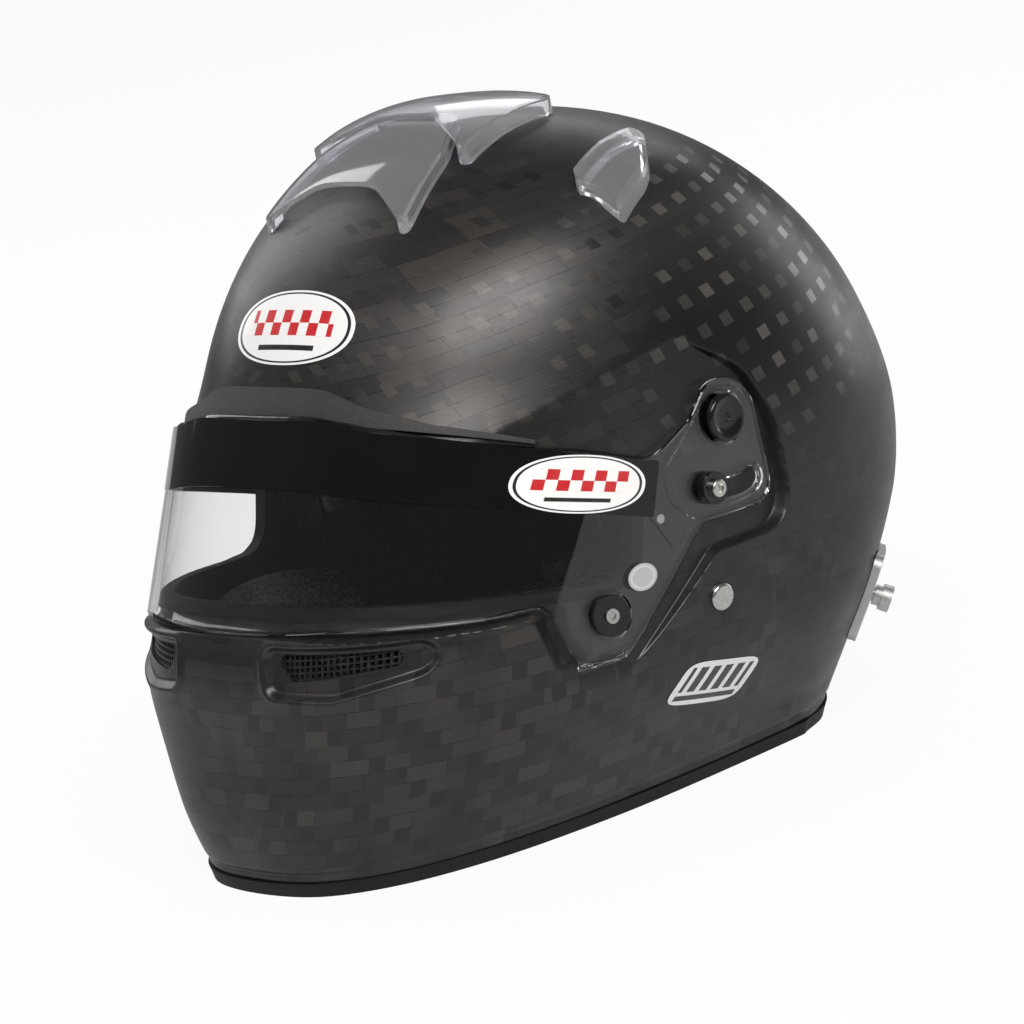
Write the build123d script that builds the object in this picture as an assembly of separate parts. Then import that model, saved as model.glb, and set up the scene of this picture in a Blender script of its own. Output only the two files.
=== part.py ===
from build123d import *
import math
import os

os.makedirs("parts", exist_ok=True)

# A full-face auto racing helmet that stands on its flat lower rim.
# The origin is on the rim plane, under the middle of the shell's length.
# -Y is the front, +X is the wearer's left, +Z is up. All sizes are millimetres.

# Outer shell
shell_height = 272.0
shell_half_width = 125.5
shell_reach = 171.0
shell_wall = 3.0
overrun = 2.0
big = 4 * shell_height

# Rows from rim to crown: height share, then half width, front reach and rear reach as
# shares of shell_half_width and shell_reach, then the power of the front corners.
shell_shares = [
    (0.000, 0.680, 0.973, 0.623, 2.70),
    (0.055, 0.740, 0.992, 0.683, 2.70),
    (0.110, 0.806, 1.000, 0.735, 2.70),
    (0.165, 0.878, 0.991, 0.776, 2.70),
    (0.220, 0.939, 0.982, 0.823, 2.70),
    (0.276, 0.972, 0.983, 0.890, 2.64),
    (0.330, 0.987, 0.972, 0.953, 2.58),
    (0.386, 0.995, 0.942, 0.987, 2.52),
    (0.440, 1.000, 0.891, 1.000, 2.46),
    (0.588, 0.976, 0.760, 0.962, 2.32),
    (0.662, 0.943, 0.687, 0.914, 2.26),
    (0.722, 0.900, 0.639, 0.858, 2.24),
    (0.837, 0.773, 0.509, 0.693, 2.24),
    (0.926, 0.596, 0.337, 0.481, 2.24),
    (0.981, 0.363, 0.156, 0.239, 2.24),
    (0.995, 0.229, 0.076, 0.123, 2.24),
]
rear_power = 2.08
widest_point_share = 0.254
widest_height_share = 0.440
section_points = 32

# Visor surface: a straight front line between two heights, sides nearly flat.
visor_wall = 3.0
visor_shares = [
    (0.080, 0.992, 1.205),
    (0.368, 0.988, 0.963),
    (0.662, 0.972, 0.721),
    (0.850, 0.962, 0.566),
]
visor_power = 2.5
visor_centre_share = 0.228
recess_gap = 2.0
seal_clearance = 0.8
seat_clearance = 0.1

# Side outlines: y as a share of shell_reach, z and corner radius as shares of shell_height.
visor_outline_shares = [
    (-1.200, 0.664, 0.000), (-0.713, 0.664, 0.011), (-0.681, 0.643, 0.050),
    (-0.351, 0.561, 0.220), (-0.175, 0.518, 0.059), (-0.058, 0.555, 0.050),
    (0.009, 0.599, 0.037), (0.143, 0.599, 0.066), (0.149, 0.403, 0.033),
    (-0.082, 0.406, 0.029), (-0.351, 0.261, 0.015), (-0.474, 0.261, 0.033),
    (-0.520, 0.364, 0.026), (-0.655, 0.366, 0.110), (-0.877, 0.382, 0.090),
    (-0.953, 0.395, 0.029), (-1.200, 0.395, 0.000),
]
recess_outline_shares = [
    (-1.200, 0.669, 0.000), (-0.708, 0.669, 0.011), (-0.675, 0.649, 0.044),
    (-0.491, 0.604, 0.004), (-0.491, 0.757, 0.000), (-0.129, 0.757, 0.000),
    (-0.082, 0.691, 0.029), (0.120, 0.597, 0.080), (0.175, 0.518, 0.090),
    (0.181, 0.412, 0.040), (0.146, 0.369, 0.040), (-0.058, 0.369, 0.044),
    (-0.374, 0.222, 0.022), (-0.491, 0.222, 0.033), (-0.541, 0.358, 0.022),
    (-0.655, 0.361, 0.110), (-0.877, 0.3775, 0.090), (-0.953, 0.3905, 0.029),
    (-1.200, 0.3905, 0.000),
]
port_outline_shares = [
    (-1.200, 0.612, 0.000), (-0.708, 0.612, 0.011), (-0.667, 0.590, 0.044),
    (-0.222, 0.482, 0.044), (-0.278, 0.361, 0.055), (-0.409, 0.365, 0.070),
    (-0.556, 0.379, 0.110), (-0.830, 0.404, 0.070), (-0.936, 0.414, 0.029),
    (-1.200, 0.414, 0.000),
]
strip_outline_shares = [
    (-1.200, 0.660, 0.000), (-0.713, 0.660, 0.011), (-0.684, 0.639, 0.050),
    (-0.351, 0.556, 0.220), (-0.164, 0.514, 0.004), (-0.211, 0.440, 0.004),
    (-0.614, 0.524, 0.220), (-0.749, 0.553, 0.070), (-0.807, 0.577, 0.030),
    (-1.200, 0.577, 0.000),
]
trim_outline_shares = [
    (-1.200, 0.699, 0.000), (-0.660, 0.699, 0.007), (-0.650, 0.668, 0.030),
    (-0.585, 0.636, 0.020), (-0.420, 0.588, 0.000), (-0.420, 0.582, 0.000),
    (-0.673, 0.645, 0.044), (-0.708, 0.6665, 0.011), (-1.200, 0.6665, 0.000),
]
strip_wall = 0.3
strip_gap = 0.05

# Rubber edging of the rim and of the eye port
rim_height = 5.5
rim_skin = 1.2
rim_floor = 1.6
gasket_lip = 1.5
gasket_flange = 3.2
gasket_bead = 1.6

# Chin vents, in front view: x as a share of shell_half_width, z as a share of shell_height
vent_outline_shares = [
    (0.243, 0.358, 0.010), (0.300, 0.318, 0.018), (0.618, 0.327, 0.007), (0.618, 0.349, 0.007),
]
vent_recess_shares = [
    (0.215, 0.366, 0.012), (0.225, 0.303, 0.020), (0.440, 0.294, 0.030),
    (0.690, 0.316, 0.022), (0.690, 0.355, 0.020),
]
vent_recess_depth = 1.5
mesh_wall = 0.7
mesh_hole = 1.6
mesh_pitch = 2.3
mesh_border = 2.5

# Liners
liner_gap = 0.3
liner_depth = 33.0
comfort_wall = 8.0
chin_liner_depth = 17.0
chin_liner_half_width_share = 0.57
liner_cut_shares = [
    (-1.200, 0.640, 0.000), (-0.660, 0.640, 0.030), (-0.205, 0.530, 0.060),
    (-0.170, 0.228, 0.000), (-1.200, 0.228, 0.000),
]
liner_foot_share = 0.228
comfort_foot_share = 0.400
chin_liner_shares = [
    (-1.200, 0.385, 0.000), (-0.830, 0.380, 0.030), (-0.570, 0.350, 0.020),
    (-0.570, 0.050, 0.020), (-1.200, 0.050, 0.000),
]

# Cheek pads: side outline and how it swells from the face side to the shell side
cheek_pad_gap = 6.5
cheek_outline_shares = [
    (-0.665, 0.338, 0.060), (-0.420, 0.366, 0.110), (-0.190, 0.338, 0.060), (-0.185, 0.110, 0.080),
    (-0.560, 0.095, 0.100),
]
cheek_swell_shares = [(0.440, 0.55), (0.465, 0.80), (0.520, 0.94), (0.600, 1.00), (1.050, 1.02)]

# Neck pad: a roll around the rear of the neck opening
neck_pad_depth = 20.0
neck_pad_low = 9.0
neck_pad_high = 50.0
neck_pad_front_share = 0.130

# Visor pivot, at a share of shell_reach and shell_height
pivot_shares = (0.039, 0.543)
pivot_shaft_radius = 6.0
pivot_running_gap = 0.05
pivot_boss_radius = 10.0
pivot_boss_rise = 1.0
pivot_cap_radius = 9.5
pivot_cap_height = 2.6
pivot_cap_round = 0.8
pivot_head_gap = 0.6
screw_hole_radius = 3.0
screw_play = 0.15
nut_radius = 7.0
nut_height = 2.5
nut_room = 0.8

# Guide screw and the arc slot that it runs in
guide_radius = 28.0
guide_angle = 28.0
visor_travel = 47.0
guide_shaft_radius = 3.2
slot_play = 0.4
guide_flange_radius = 6.5
guide_flange_height = 1.4
guide_foot_radius = 5.0
guide_head_gap = 1.7
guide_head_radius = 3.6
guide_head_height = 2.6
hex_socket_share = 0.55
hex_socket_depth = 1.8

# Snap stud in the visor's low lobe
stud_shares = (-0.374, 0.324)
stud_radius = 7.0
stud_hole_gap = 0.1
stud_flange_radius = 8.0
stud_flange_height = 1.2
stud_screw_radius = 2.9
stud_screw_height = 1.2

# Finger tab under the low lobe
tab_rise = 4.0
tab_thickness = 2.2
tab_shares = (-0.466, -0.368)

# Small latch plate on the recess floor
latch_outline_shares = [
    (-0.211, 0.447, 0.006), (-0.175, 0.447, 0.006), (-0.117, 0.410, 0.006), (-0.158, 0.382, 0.006),
]
latch_thickness = 1.2
latch_screw_shares = (-0.180, 0.431)
latch_screw_radius = 1.8
latch_screw_rise = 0.3

# Chin strap rivets
rivet_shares = (-0.062, 0.295)
rivet_head_radius = 5.6
rivet_head_height = 2.2
rivet_shank_radius = 2.5
rivet_washer_radius = 7.5
rivet_washer_height = 1.2
rivet_washer_gap = 2.2

# Chin strap: two webbing ends that meet in a pair of rings under the chin.
# The strap's places are heights up the wall, then places across the opening.
strap_width = 20.0
strap_thickness = 2.4
strap_wall_gap = 2.2
strap_layer_gap = 0.3
strap_lean_share = 0.200
strap_wall_shares = (0.315, 0.210, 0.100)
strap_turn_shares = (0.500, 0.060)
strap_level_share = 0.310
strap_middle_share = 0.043
strap_bends = (60.0, 26.0, 30.0, 40.0)
strap_channel_gap = 1.0
strap_channel_depth = 8.5
strap_ring_share = 0.170
strap_tail = 12.0
ring_rod = 3.6
ring_inner_width = 24.0
ring_inner_height = 7.5
ring_corner = 3.0
ring_gap = 1.0

# Tether anchors at the rear quarters
anchor_angle = 31.0
anchor_height_share = 0.176
anchor_plate_width = 30.0
anchor_plate_height = 38.0
anchor_plate_thickness = 4.0
anchor_plate_round = 6.0
anchor_post_radius = 5.5
anchor_post_length = 4.2
anchor_neck_radius = 4.2
anchor_neck_length = 3.0
anchor_bolt_radius = 3.0
anchor_washer_radius = 9.0
anchor_washer_height = 1.5

# Clear top scoops: top outlines, x and corner radius as shares of shell_half_width and
# shell_height, y as a share of shell_reach. Mouths are circles where the side wall stops.
scoop_wall = 1.6
scoop_side = 3.0
scoop_seat_gap = 0.1
front_scoop_rise = 4.5
front_scoop_shares = [
    (0.350, -0.405, 0.012), (0.130, -0.330, 0.080), (-0.130, -0.330, 0.080), (-0.350, -0.405, 0.012),
    (-0.300, -0.200, 0.060), (-0.200, -0.080, 0.010), (0.200, -0.080, 0.010), (0.300, -0.200, 0.060),
]
front_scoop_mouth_shares = [(0.000, -0.500, 0.157), (0.000, -0.060, 0.087)]
rear_scoop_rise = 6.5
rear_scoop_shares = [
    (0.375, -0.205, 0.012), (0.120, -0.105, 0.080), (-0.120, -0.105, 0.080), (-0.375, -0.205, 0.012),
    (-0.340, 0.140, 0.030), (0.340, 0.140, 0.030),
]
rear_scoop_mouth_shares = [(0.000, -0.300, 0.166)]
side_scoop_rise = 4.5
side_scoop_shares = [
    (0.650, -0.078, 0.010), (0.705, -0.038, 0.014), (0.765, -0.015, 0.010), (0.715, 0.130, 0.110),
    (0.565, 0.235, 0.012), (0.600, 0.070, 0.110),
]
side_scoop_mouth_shares = [(0.730, -0.085, 0.033)]
intake_radius = 4.0
intake_shares = [(0.120, -0.275), (0.130, -0.020)]
side_intake_shares = (0.665, 0.030)


def section(height, half_width, front, rear, centre, front_power, rear_power_here):
    """A closed outline at one height: two rounded halves that meet at the widest point."""
    points = []
    for index in range(section_points):
        angle = 2 * math.pi * index / section_points + math.pi / 2
        across = math.cos(angle)
        along = math.sin(angle)
        power = rear_power_here if along > 0 else front_power
        reach = rear - centre if along > 0 else front + centre
        x = half_width * math.copysign(abs(across) ** (2 / power), across)
        y = centre + reach * math.copysign(abs(along) ** (2 / power), along)
        points.append(Vector(x, y, height))
    marks = [index / section_points for index in range(section_points + 1)]
    return Wire([Edge.make_spline(points, periodic=True, parameters=marks)])


def centre_share(height_share, front_share, rear_share):
    """Where the widest point lies: fixed low down, moving to the middle at the crown."""
    if height_share <= widest_height_share:
        return widest_point_share
    climb = (height_share - widest_height_share) / (1 - widest_height_share)
    return widest_point_share + climb * ((rear_share - front_share) / 2 - widest_point_share)


def dome(inset):
    """The helmet's envelope with every face moved inwards by inset, less so across the crown."""
    objects = []
    for level, wide, front, rear, power in shell_shares:
        height = level * (shell_height - inset) if level > 0 else -overrun
        middle = centre_share(level, front, rear) * shell_reach
        step = inset * wide if level > widest_height_share else inset
        objects.append(section(height, wide * shell_half_width - step, front * shell_reach - step,
                               rear * shell_reach - step, middle, power, rear_power))
    crown_y = (shell_shares[-1][3] - shell_shares[-1][2]) / 2 * shell_reach
    objects.append(Vertex(0, crown_y, shell_height - inset))
    return Solid.make_loft(objects)


def visor_form(inset):
    """The visor's curved surface as a tall closed body, moved inwards by inset."""
    objects = []
    for level, wide, front in visor_shares:
        objects.append(section(level * shell_height, wide * shell_half_width - inset,
                               front * shell_reach - inset, shell_reach, visor_centre_share * shell_reach,
                               visor_power, rear_power))
    return Solid.make_loft(objects)


def outline_face(plane, first_size, second_size, shares, grow=0.0):
    """A face with rounded corners, from shares of two sizes, grown outwards by grow."""
    points = [(a * first_size, b * second_size) for a, b, corner in shares]
    radii = [corner * shell_height for a, b, corner in shares]
    with BuildSketch(plane) as sketch:
        with BuildLine():
            FilletPolyline(*points, radius=radii, close=True)
        make_face()
        if grow != 0:
            offset(amount=grow, kind=Kind.INTERSECTION)
    return sketch.sketch


def side_prism(shares, grow=0.0):
    """A side outline carried right through the helmet along X."""
    face = outline_face(Plane.YZ, shell_reach, shell_height, shares, grow)
    return extrude(face, amount=2 * shell_half_width, both=True)


def front_prism(shares, grow=0.0):
    """A front outline carried forwards from the middle of the helmet."""
    face = outline_face(Plane.XZ, shell_half_width, shell_height, shares, grow)
    return extrude(face, amount=2 * shell_reach)


def top_prism(shares, grow=0.0):
    """A top outline carried upwards from half the shell's height."""
    level = Plane.XY.offset(shell_height / 2)
    face = outline_face(level, shell_half_width, shell_reach, shares, grow)
    return extrude(face, amount=shell_height)


def slab(low, high):
    """All space between two heights."""
    return Pos(0, 0, (low + high) / 2) * Box(big, big, high - low)


def block(low_y, high_y):
    """All space between two places along Y."""
    return Pos(0, (low_y + high_y) / 2, 0) * Box(big, high_y - low_y, big)


def left_half():
    """All space on the wearer's left."""
    return Pos(big / 2, 0, 0) * Box(big, big, big)


def body(inset):
    """The envelope with the visor's recess sunk into it, moved inwards by inset."""
    floor = visor_form(visor_wall + recess_gap + inset)
    return dome(inset) - (side_prism(recess_outline_shares, inset) - floor)


def mirrored(shape):
    """The same piece on the wearer's right."""
    return mirror(shape, about=Plane.YZ)


def seat(form, start, direction):
    """The plane on a form's surface where a ray leaves it, facing outwards."""
    ray = Edge.make_line(start, start + direction * 2 * shell_height)
    ends = []
    for piece in ray.intersect(form):
        ends.extend([Vector(*vertex) for vertex in piece.vertices()])
    point = max(ends, key=lambda end: (end - start).length)
    face = min(form.faces(), key=lambda one: one.distance_to(Vertex(*point)))
    normal = face.normal_at(point)
    if normal.dot(direction) < 0:
        normal = normal * -1
    sideways = Vector(0, 0, 1).cross(normal)
    return Plane(origin=point, x_dir=sideways, z_dir=normal)


def place(shares):
    """A side-view place in millimetres."""
    return shares[0] * shell_reach, shares[1] * shell_height


def side_seat(form, shares):
    """The seat of a form straight out from the middle at a side-view place."""
    y, z = place(shares)
    return seat(form, Vector(0, y, z), Vector(1, 0, 0))


def across(shares, x):
    """The plane at a side-view place that faces straight out along X."""
    y, z = place(shares)
    return Plane(origin=(x, y, z), x_dir=(0, 1, 0), z_dir=(1, 0, 0))


def disc(plane, radius, low, high):
    """A round piece on a plane, from one height over it to another."""
    return plane * Pos(0, 0, (low + high) / 2) * Cylinder(radius, high - low)


def hexagon(plane, radius, low, high):
    """A six-sided hole's tool on a plane."""
    face = plane * Pos(0, 0, low) * RegularPolygon(radius, 6)
    return extrude(face, amount=high - low, dir=plane.z_dir)


def save(name, shape):
    """Write one piece as its own file."""
    export_step(shape, os.path.join("parts", name + ".step"))
    print(name, "volume", round(shape.volume))


def save_pair(name, shape):
    """Write a piece and its mirror image."""
    save(name + "_left", shape)
    save(name + "_right", mirrored(shape))


# Forms that several pieces share
outside = body(0)
inside = body(shell_wall)
visor_outside = visor_form(0)
visor_inside = visor_form(visor_wall)

pivot_y, pivot_z = place(pivot_shares)
pivot_visor_x = side_seat(visor_outside, pivot_shares).origin.X
pivot_floor_x = side_seat(outside, pivot_shares).origin.X
pivot_inner_x = side_seat(inside, pivot_shares).origin.X

guide_turn = math.radians(guide_angle)
guide_y = pivot_y - guide_radius * math.sin(guide_turn)
guide_z = pivot_z - guide_radius * math.cos(guide_turn)
guide_shares = (guide_y / shell_reach, guide_z / shell_height)
guide_floor_x = side_seat(outside, guide_shares).origin.X
guide_inner_x = side_seat(inside, guide_shares).origin.X

floor_cut = seat_clearance * 5
pivot_seat_x = pivot_floor_x - floor_cut
guide_seat_x = guide_floor_x - floor_cut
pivot_plane = across(pivot_shares, 0)
guide_plane = across(guide_shares, 0)
pivot_head_x = pivot_visor_x + pivot_head_gap
guide_head_x = pivot_visor_x + guide_head_gap
nut_drop = seat_clearance * 9

rivet_plane = side_seat(outside, rivet_shares)
anchor_turn = math.radians(anchor_angle)
anchor_plane = seat(outside, Vector(0, widest_point_share * shell_reach, anchor_height_share * shell_height),
                    Vector(math.cos(anchor_turn), math.sin(anchor_turn), 0))


def intake_tools():
    """Round air holes under the scoops."""
    tools = []
    places = intake_shares + [side_intake_shares]
    for x_share, y_share in places:
        for side in (1, -1):
            tools.append(Pos(side * x_share * shell_half_width, y_share * shell_reach, shell_height)
                         * Cylinder(intake_radius, shell_height))
    return tools


def two_sides(tool):
    """A cutting tool and its mirror image."""
    return [tool, mirrored(tool)]


def make_shell():
    """The woven outer shell with its port, recess, vents and bolt holes."""
    shell = outside - inside
    shell = shell - side_prism(port_outline_shares)
    shell = shell & slab(rim_floor, 2 * shell_height)
    vent_floor = dome(vent_recess_depth)
    vent_dish = front_prism(vent_recess_shares) - vent_floor
    shell = shell - two_sides(vent_dish) - two_sides(front_prism(vent_outline_shares))
    tools = intake_tools()
    tools += two_sides(disc(pivot_plane, pivot_boss_radius + screw_play, pivot_seat_x, 2 * shell_half_width))
    tools += two_sides(disc(pivot_plane, screw_hole_radius + screw_play, 0, 2 * shell_half_width))
    tools += two_sides(disc(guide_plane, guide_foot_radius + screw_play, guide_seat_x, 2 * shell_half_width))
    tools += two_sides(disc(guide_plane, screw_hole_radius + screw_play, 0, 2 * shell_half_width))
    tools += two_sides(disc(rivet_plane, rivet_shank_radius + screw_play, -nut_radius, nut_radius))
    tools += two_sides(disc(anchor_plane, anchor_bolt_radius + screw_play, -nut_radius, nut_radius))
    return shell - tools


def make_rim_trim():
    """A rubber channel around the lower edge."""
    band = (dome(-rim_skin) - dome(shell_wall + rim_skin)) & slab(0, rim_height)
    groove = (dome(-seat_clearance) - dome(shell_wall + seat_clearance)) & slab(rim_floor, big)
    return band - groove


def make_gasket():
    """A rubber channel around the eye port, which the visor closes against."""
    around = side_prism(port_outline_shares, gasket_flange) - side_prism(port_outline_shares, -gasket_bead)
    body_of_rubber = visor_form(visor_wall + seal_clearance) - body(shell_wall + gasket_lip)
    channel = body(-seat_clearance) - body(shell_wall + seat_clearance)
    channel = channel - side_prism(port_outline_shares, -seat_clearance)
    return (around & body_of_rubber) - channel


def make_brow_trim():
    """A plain satin strip over the visor's top edge."""
    strip = visor_form(visor_wall + seal_clearance) - body(-seat_clearance / 2)
    return strip & side_prism(trim_outline_shares)


def make_visor():
    """The clear shield with its pivot holes, arc slots, stud holes and finger tabs."""
    shield = (visor_outside & side_prism(visor_outline_shares)) - visor_inside
    tools = two_sides(disc(pivot_plane, pivot_shaft_radius + pivot_running_gap, 0, 2 * shell_half_width))
    tools += two_sides(arc_slot())
    tools += two_sides(disc(across(stud_shares, 0), stud_radius + stud_hole_gap, 0, 2 * shell_half_width))
    low = visor_outline_shares[10][1] * shell_height
    tab_y = [share * shell_reach for share in tab_shares]
    tab = (visor_form(-tab_rise) & block(*tab_y) & slab(low, low + tab_thickness)) - visor_inside
    return (shield + tab) - tools


def arc_slot():
    """The slot for the guide screw: an arc about the pivot, rearwards from the screw."""
    half = guide_shaft_radius + slot_play
    start = math.radians(270 - guide_angle)
    end = start + math.radians(visor_travel)
    ring = disc(pivot_plane, guide_radius + half, 0, 2 * shell_half_width)
    ring = ring - disc(pivot_plane, guide_radius - half, 0, 2 * shell_half_width)
    far = 2 * guide_radius
    corners = [(pivot_y, pivot_z)]
    for angle in (start, (start + end) / 2, end):
        corners.append((pivot_y + far * math.cos(angle), pivot_z + far * math.sin(angle)))
    wedge = extrude(Plane.YZ * make_face(Polyline(*corners, close=True)), amount=2 * shell_half_width)
    slot = ring & wedge
    for angle in (start, end):
        centre = ((pivot_y + guide_radius * math.cos(angle)) / shell_reach,
                  (pivot_z + guide_radius * math.sin(angle)) / shell_height)
        slot = slot + disc(across(centre, 0), half, 0, 2 * shell_half_width)
    return slot


def make_strip():
    """The dark film across the visor's top."""
    film = visor_form(-strip_gap - strip_wall) & side_prism(strip_outline_shares)
    return film - visor_form(-strip_gap)


def make_crown_liner():
    """The thick foam liner of the crown, sides and back."""
    liner = body(shell_wall + liner_gap) - dome(liner_depth)
    liner = liner & slab(liner_foot_share * shell_height, big)
    liner = liner - side_prism(liner_cut_shares) - intake_tools()
    tools = []
    room = nut_radius + nut_room
    depth = nut_drop + nut_height + nut_room
    for plane, inner_x in ((pivot_plane, pivot_inner_x), (guide_plane, guide_inner_x)):
        tools += two_sides(disc(plane, room, inner_x - depth, 2 * shell_half_width))
    tools += two_sides(disc(rivet_plane, rivet_washer_radius + nut_room, -2 * nut_radius, nut_radius))
    tools += two_sides(disc(anchor_plane, anchor_washer_radius + nut_room, -2 * nut_radius, nut_radius))
    tools += two_sides(strap_channel())
    return liner - tools


def strap_channel():
    """Room for the strap between the foam liner and the shell."""
    plane = strap_plane()
    top_z = strap_wall_shares[0] * shell_height
    low_z = liner_foot_share * shell_height
    low = seat(inside, Vector(0, rivet_plane.origin.Y, low_z), Vector(1, 0, 0)).origin.X
    start = low - strap_channel_depth
    height = strap_height(plane, top_z) + strap_channel_gap
    width = strap_width + 2 * strap_channel_gap
    return plane * Pos(start + big / 2, height / 2, 0) * Box(big, height, width)


def make_comfort_liner():
    """The soft padded cap inside the foam liner."""
    cap = dome(liner_depth + liner_gap) - dome(liner_depth + comfort_wall)
    cap = cap & slab(comfort_foot_share * shell_height, big)
    return cap - side_prism(liner_cut_shares, liner_gap) - intake_tools()


def make_chin_liner():
    """The foam block inside the chin bar, open behind each vent."""
    block_of_foam = body(shell_wall + mesh_wall + liner_gap * 2) - body(shell_wall + chin_liner_depth)
    block_of_foam = block_of_foam & side_prism(chin_liner_shares)
    width = 2 * chin_liner_half_width_share * shell_half_width
    block_of_foam = block_of_foam & Box(width, big, big)
    return block_of_foam - two_sides(front_prism(vent_outline_shares))


def make_vent_mesh():
    """A curved plate of wire mesh behind one chin vent."""
    plate = dome(shell_wall + liner_gap / 2) - dome(shell_wall + liner_gap / 2 + mesh_wall)
    low_x = min(a for a, b, corner in vent_outline_shares) * shell_half_width
    high_x = max(a for a, b, corner in vent_outline_shares) * shell_half_width
    low_z = min(b for a, b, corner in vent_outline_shares) * shell_height
    high_z = max(b for a, b, corner in vent_outline_shares) * shell_height
    columns = int((high_x - low_x) / mesh_pitch)
    rows = int((high_z - low_z) / mesh_pitch)
    middle = ((low_x + high_x) / 2, (low_z + high_z) / 2)
    with BuildSketch(Plane.XZ) as sketch:
        add(outline_face(Plane.XY, shell_half_width, shell_height, vent_outline_shares, mesh_border))
        with Locations(middle):
            with GridLocations(mesh_pitch, mesh_pitch, columns, rows):
                Rectangle(mesh_hole, mesh_hole, mode=Mode.SUBTRACT)
    return extrude(sketch.sketch, amount=2 * shell_reach) & plate


def cheek_outline(x, size_share):
    """The cheek pad's closed side outline at one distance from the middle."""
    middle_y = sum(a for a, b, corner in cheek_outline_shares) / len(cheek_outline_shares)
    middle_z = sum(b for a, b, corner in cheek_outline_shares) / len(cheek_outline_shares)
    shares = []
    for a, b, corner in cheek_outline_shares:
        shares.append((middle_y + (a - middle_y) * size_share, middle_z + (b - middle_z) * size_share,
                       corner * size_share))
    face = outline_face(Plane.YZ, shell_reach, shell_height, shares)
    return (Pos(x, 0, 0) * face).face().outer_wire()


def make_cheek_pad():
    """A cheek pad: crowned towards the face, following the shell on its outer side."""
    outlines = [cheek_outline(x * shell_half_width, size) for x, size in cheek_swell_shares]
    pad = Solid.make_loft(outlines)
    return pad & dome(shell_wall + cheek_pad_gap)


def make_neck_pad():
    """A padded roll around the rear of the neck opening."""
    roll = dome(shell_wall + liner_gap) - dome(shell_wall + neck_pad_depth)
    roll = roll & slab(neck_pad_low, neck_pad_high) & block(neck_pad_front_share * shell_reach, big)
    room = disc(anchor_plane, anchor_washer_radius + nut_room, -2 * nut_radius, nut_radius)
    return roll - two_sides(room)


def make_pivot():
    """Boss, cap and nut of the visor pivot."""
    boss = disc(pivot_plane, pivot_boss_radius, pivot_seat_x, pivot_floor_x + pivot_boss_rise)
    boss = boss + disc(pivot_plane, pivot_shaft_radius, pivot_seat_x, pivot_head_x)
    boss = boss + disc(pivot_plane, screw_hole_radius, pivot_inner_x - nut_drop - nut_height, pivot_seat_x)
    cap = disc(pivot_plane, pivot_cap_radius, pivot_head_x, pivot_head_x + pivot_cap_height)
    top = cap.edges().filter_by(GeomType.CIRCLE).sort_by(Axis.X)[-1]
    cap = fillet(top, pivot_cap_round)
    nut = disc(pivot_plane, nut_radius, pivot_inner_x - nut_drop - nut_height, pivot_inner_x - nut_drop)
    nut = nut - disc(pivot_plane, screw_hole_radius, 0, pivot_inner_x)
    return boss, cap, nut


def make_guide():
    """Bush, screw and nut of the visor guide."""
    sleeve_top = guide_head_x + guide_flange_height
    bush = disc(guide_plane, guide_foot_radius, guide_seat_x, guide_floor_x + pivot_boss_rise)
    bush = bush + disc(guide_plane, guide_shaft_radius, guide_seat_x, sleeve_top)
    bush = bush + disc(guide_plane, guide_flange_radius, guide_head_x, sleeve_top)
    bore = guide_shaft_radius * hex_socket_share
    bush = bush - disc(guide_plane, bore, 0, 2 * shell_half_width)
    end = guide_inner_x - nut_drop - nut_height
    screw = disc(guide_plane, bore, end, sleeve_top)
    head = disc(guide_plane, guide_head_radius, sleeve_top, sleeve_top + guide_head_height)
    rounded = head.edges().filter_by(GeomType.CIRCLE).sort_by(Axis.X)[-1]
    head = fillet(rounded, guide_head_height / 3)
    screw = screw + head
    top = sleeve_top + guide_head_height
    screw = screw - hexagon(guide_plane, guide_head_radius * hex_socket_share, top - hex_socket_depth, top)
    nut = disc(guide_plane, nut_radius, end, guide_inner_x - nut_drop)
    nut = nut - disc(guide_plane, bore, 0, guide_inner_x)
    return bush, screw, nut


def make_stud():
    """Snap stud and its screw in the visor's low lobe."""
    plane = across(stud_shares, 0)
    out = side_seat(visor_outside, stud_shares)
    raised = visor_form(-stud_flange_height)
    flange = (raised & disc(plane, stud_flange_radius, 0, 2 * shell_half_width)) - visor_outside
    core = (raised & disc(plane, stud_radius, 0, 2 * shell_half_width)) - visor_inside
    stud = flange + core
    face = Plane(origin=out.origin + out.z_dir * stud_flange_height, x_dir=out.x_dir, z_dir=out.z_dir)
    room = disc(face, stud_screw_radius, -stud_screw_height, stud_screw_height)
    screw = room - hexagon(face, stud_screw_radius * hex_socket_share, stud_screw_height / 4, stud_screw_height)
    return stud - room, screw


def make_latch():
    """Small plate and screw on the recess floor by the port's rear edge."""
    gap_left = visor_wall + recess_gap - latch_thickness
    floor = visor_form(visor_wall + recess_gap)
    plate = (visor_form(gap_left) & side_prism(latch_outline_shares) & left_half()) - floor
    screw_plane = across(latch_screw_shares, 0)
    shank = disc(screw_plane, latch_screw_radius, 0, 2 * shell_half_width)
    screw = (visor_form(gap_left - latch_screw_rise) & shank) - floor
    return plate - shank, screw


def make_rivet():
    """Domed strap rivet and its inner washer."""
    end = -shell_wall - strap_wall_gap - strap_thickness - rivet_washer_gap - rivet_washer_height
    head = disc(rivet_plane, rivet_head_radius, 0, rivet_head_height)
    edge = max(head.edges().filter_by(GeomType.CIRCLE), key=lambda one: one.center().X)
    head = fillet(edge, rivet_head_height * 2 / 3)
    rivet = head + disc(rivet_plane, rivet_shank_radius, end, 0)
    washer = disc(rivet_plane, rivet_washer_radius, end, end + rivet_washer_height)
    washer = washer - disc(rivet_plane, rivet_shank_radius, -big, big)
    return rivet, washer


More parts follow.
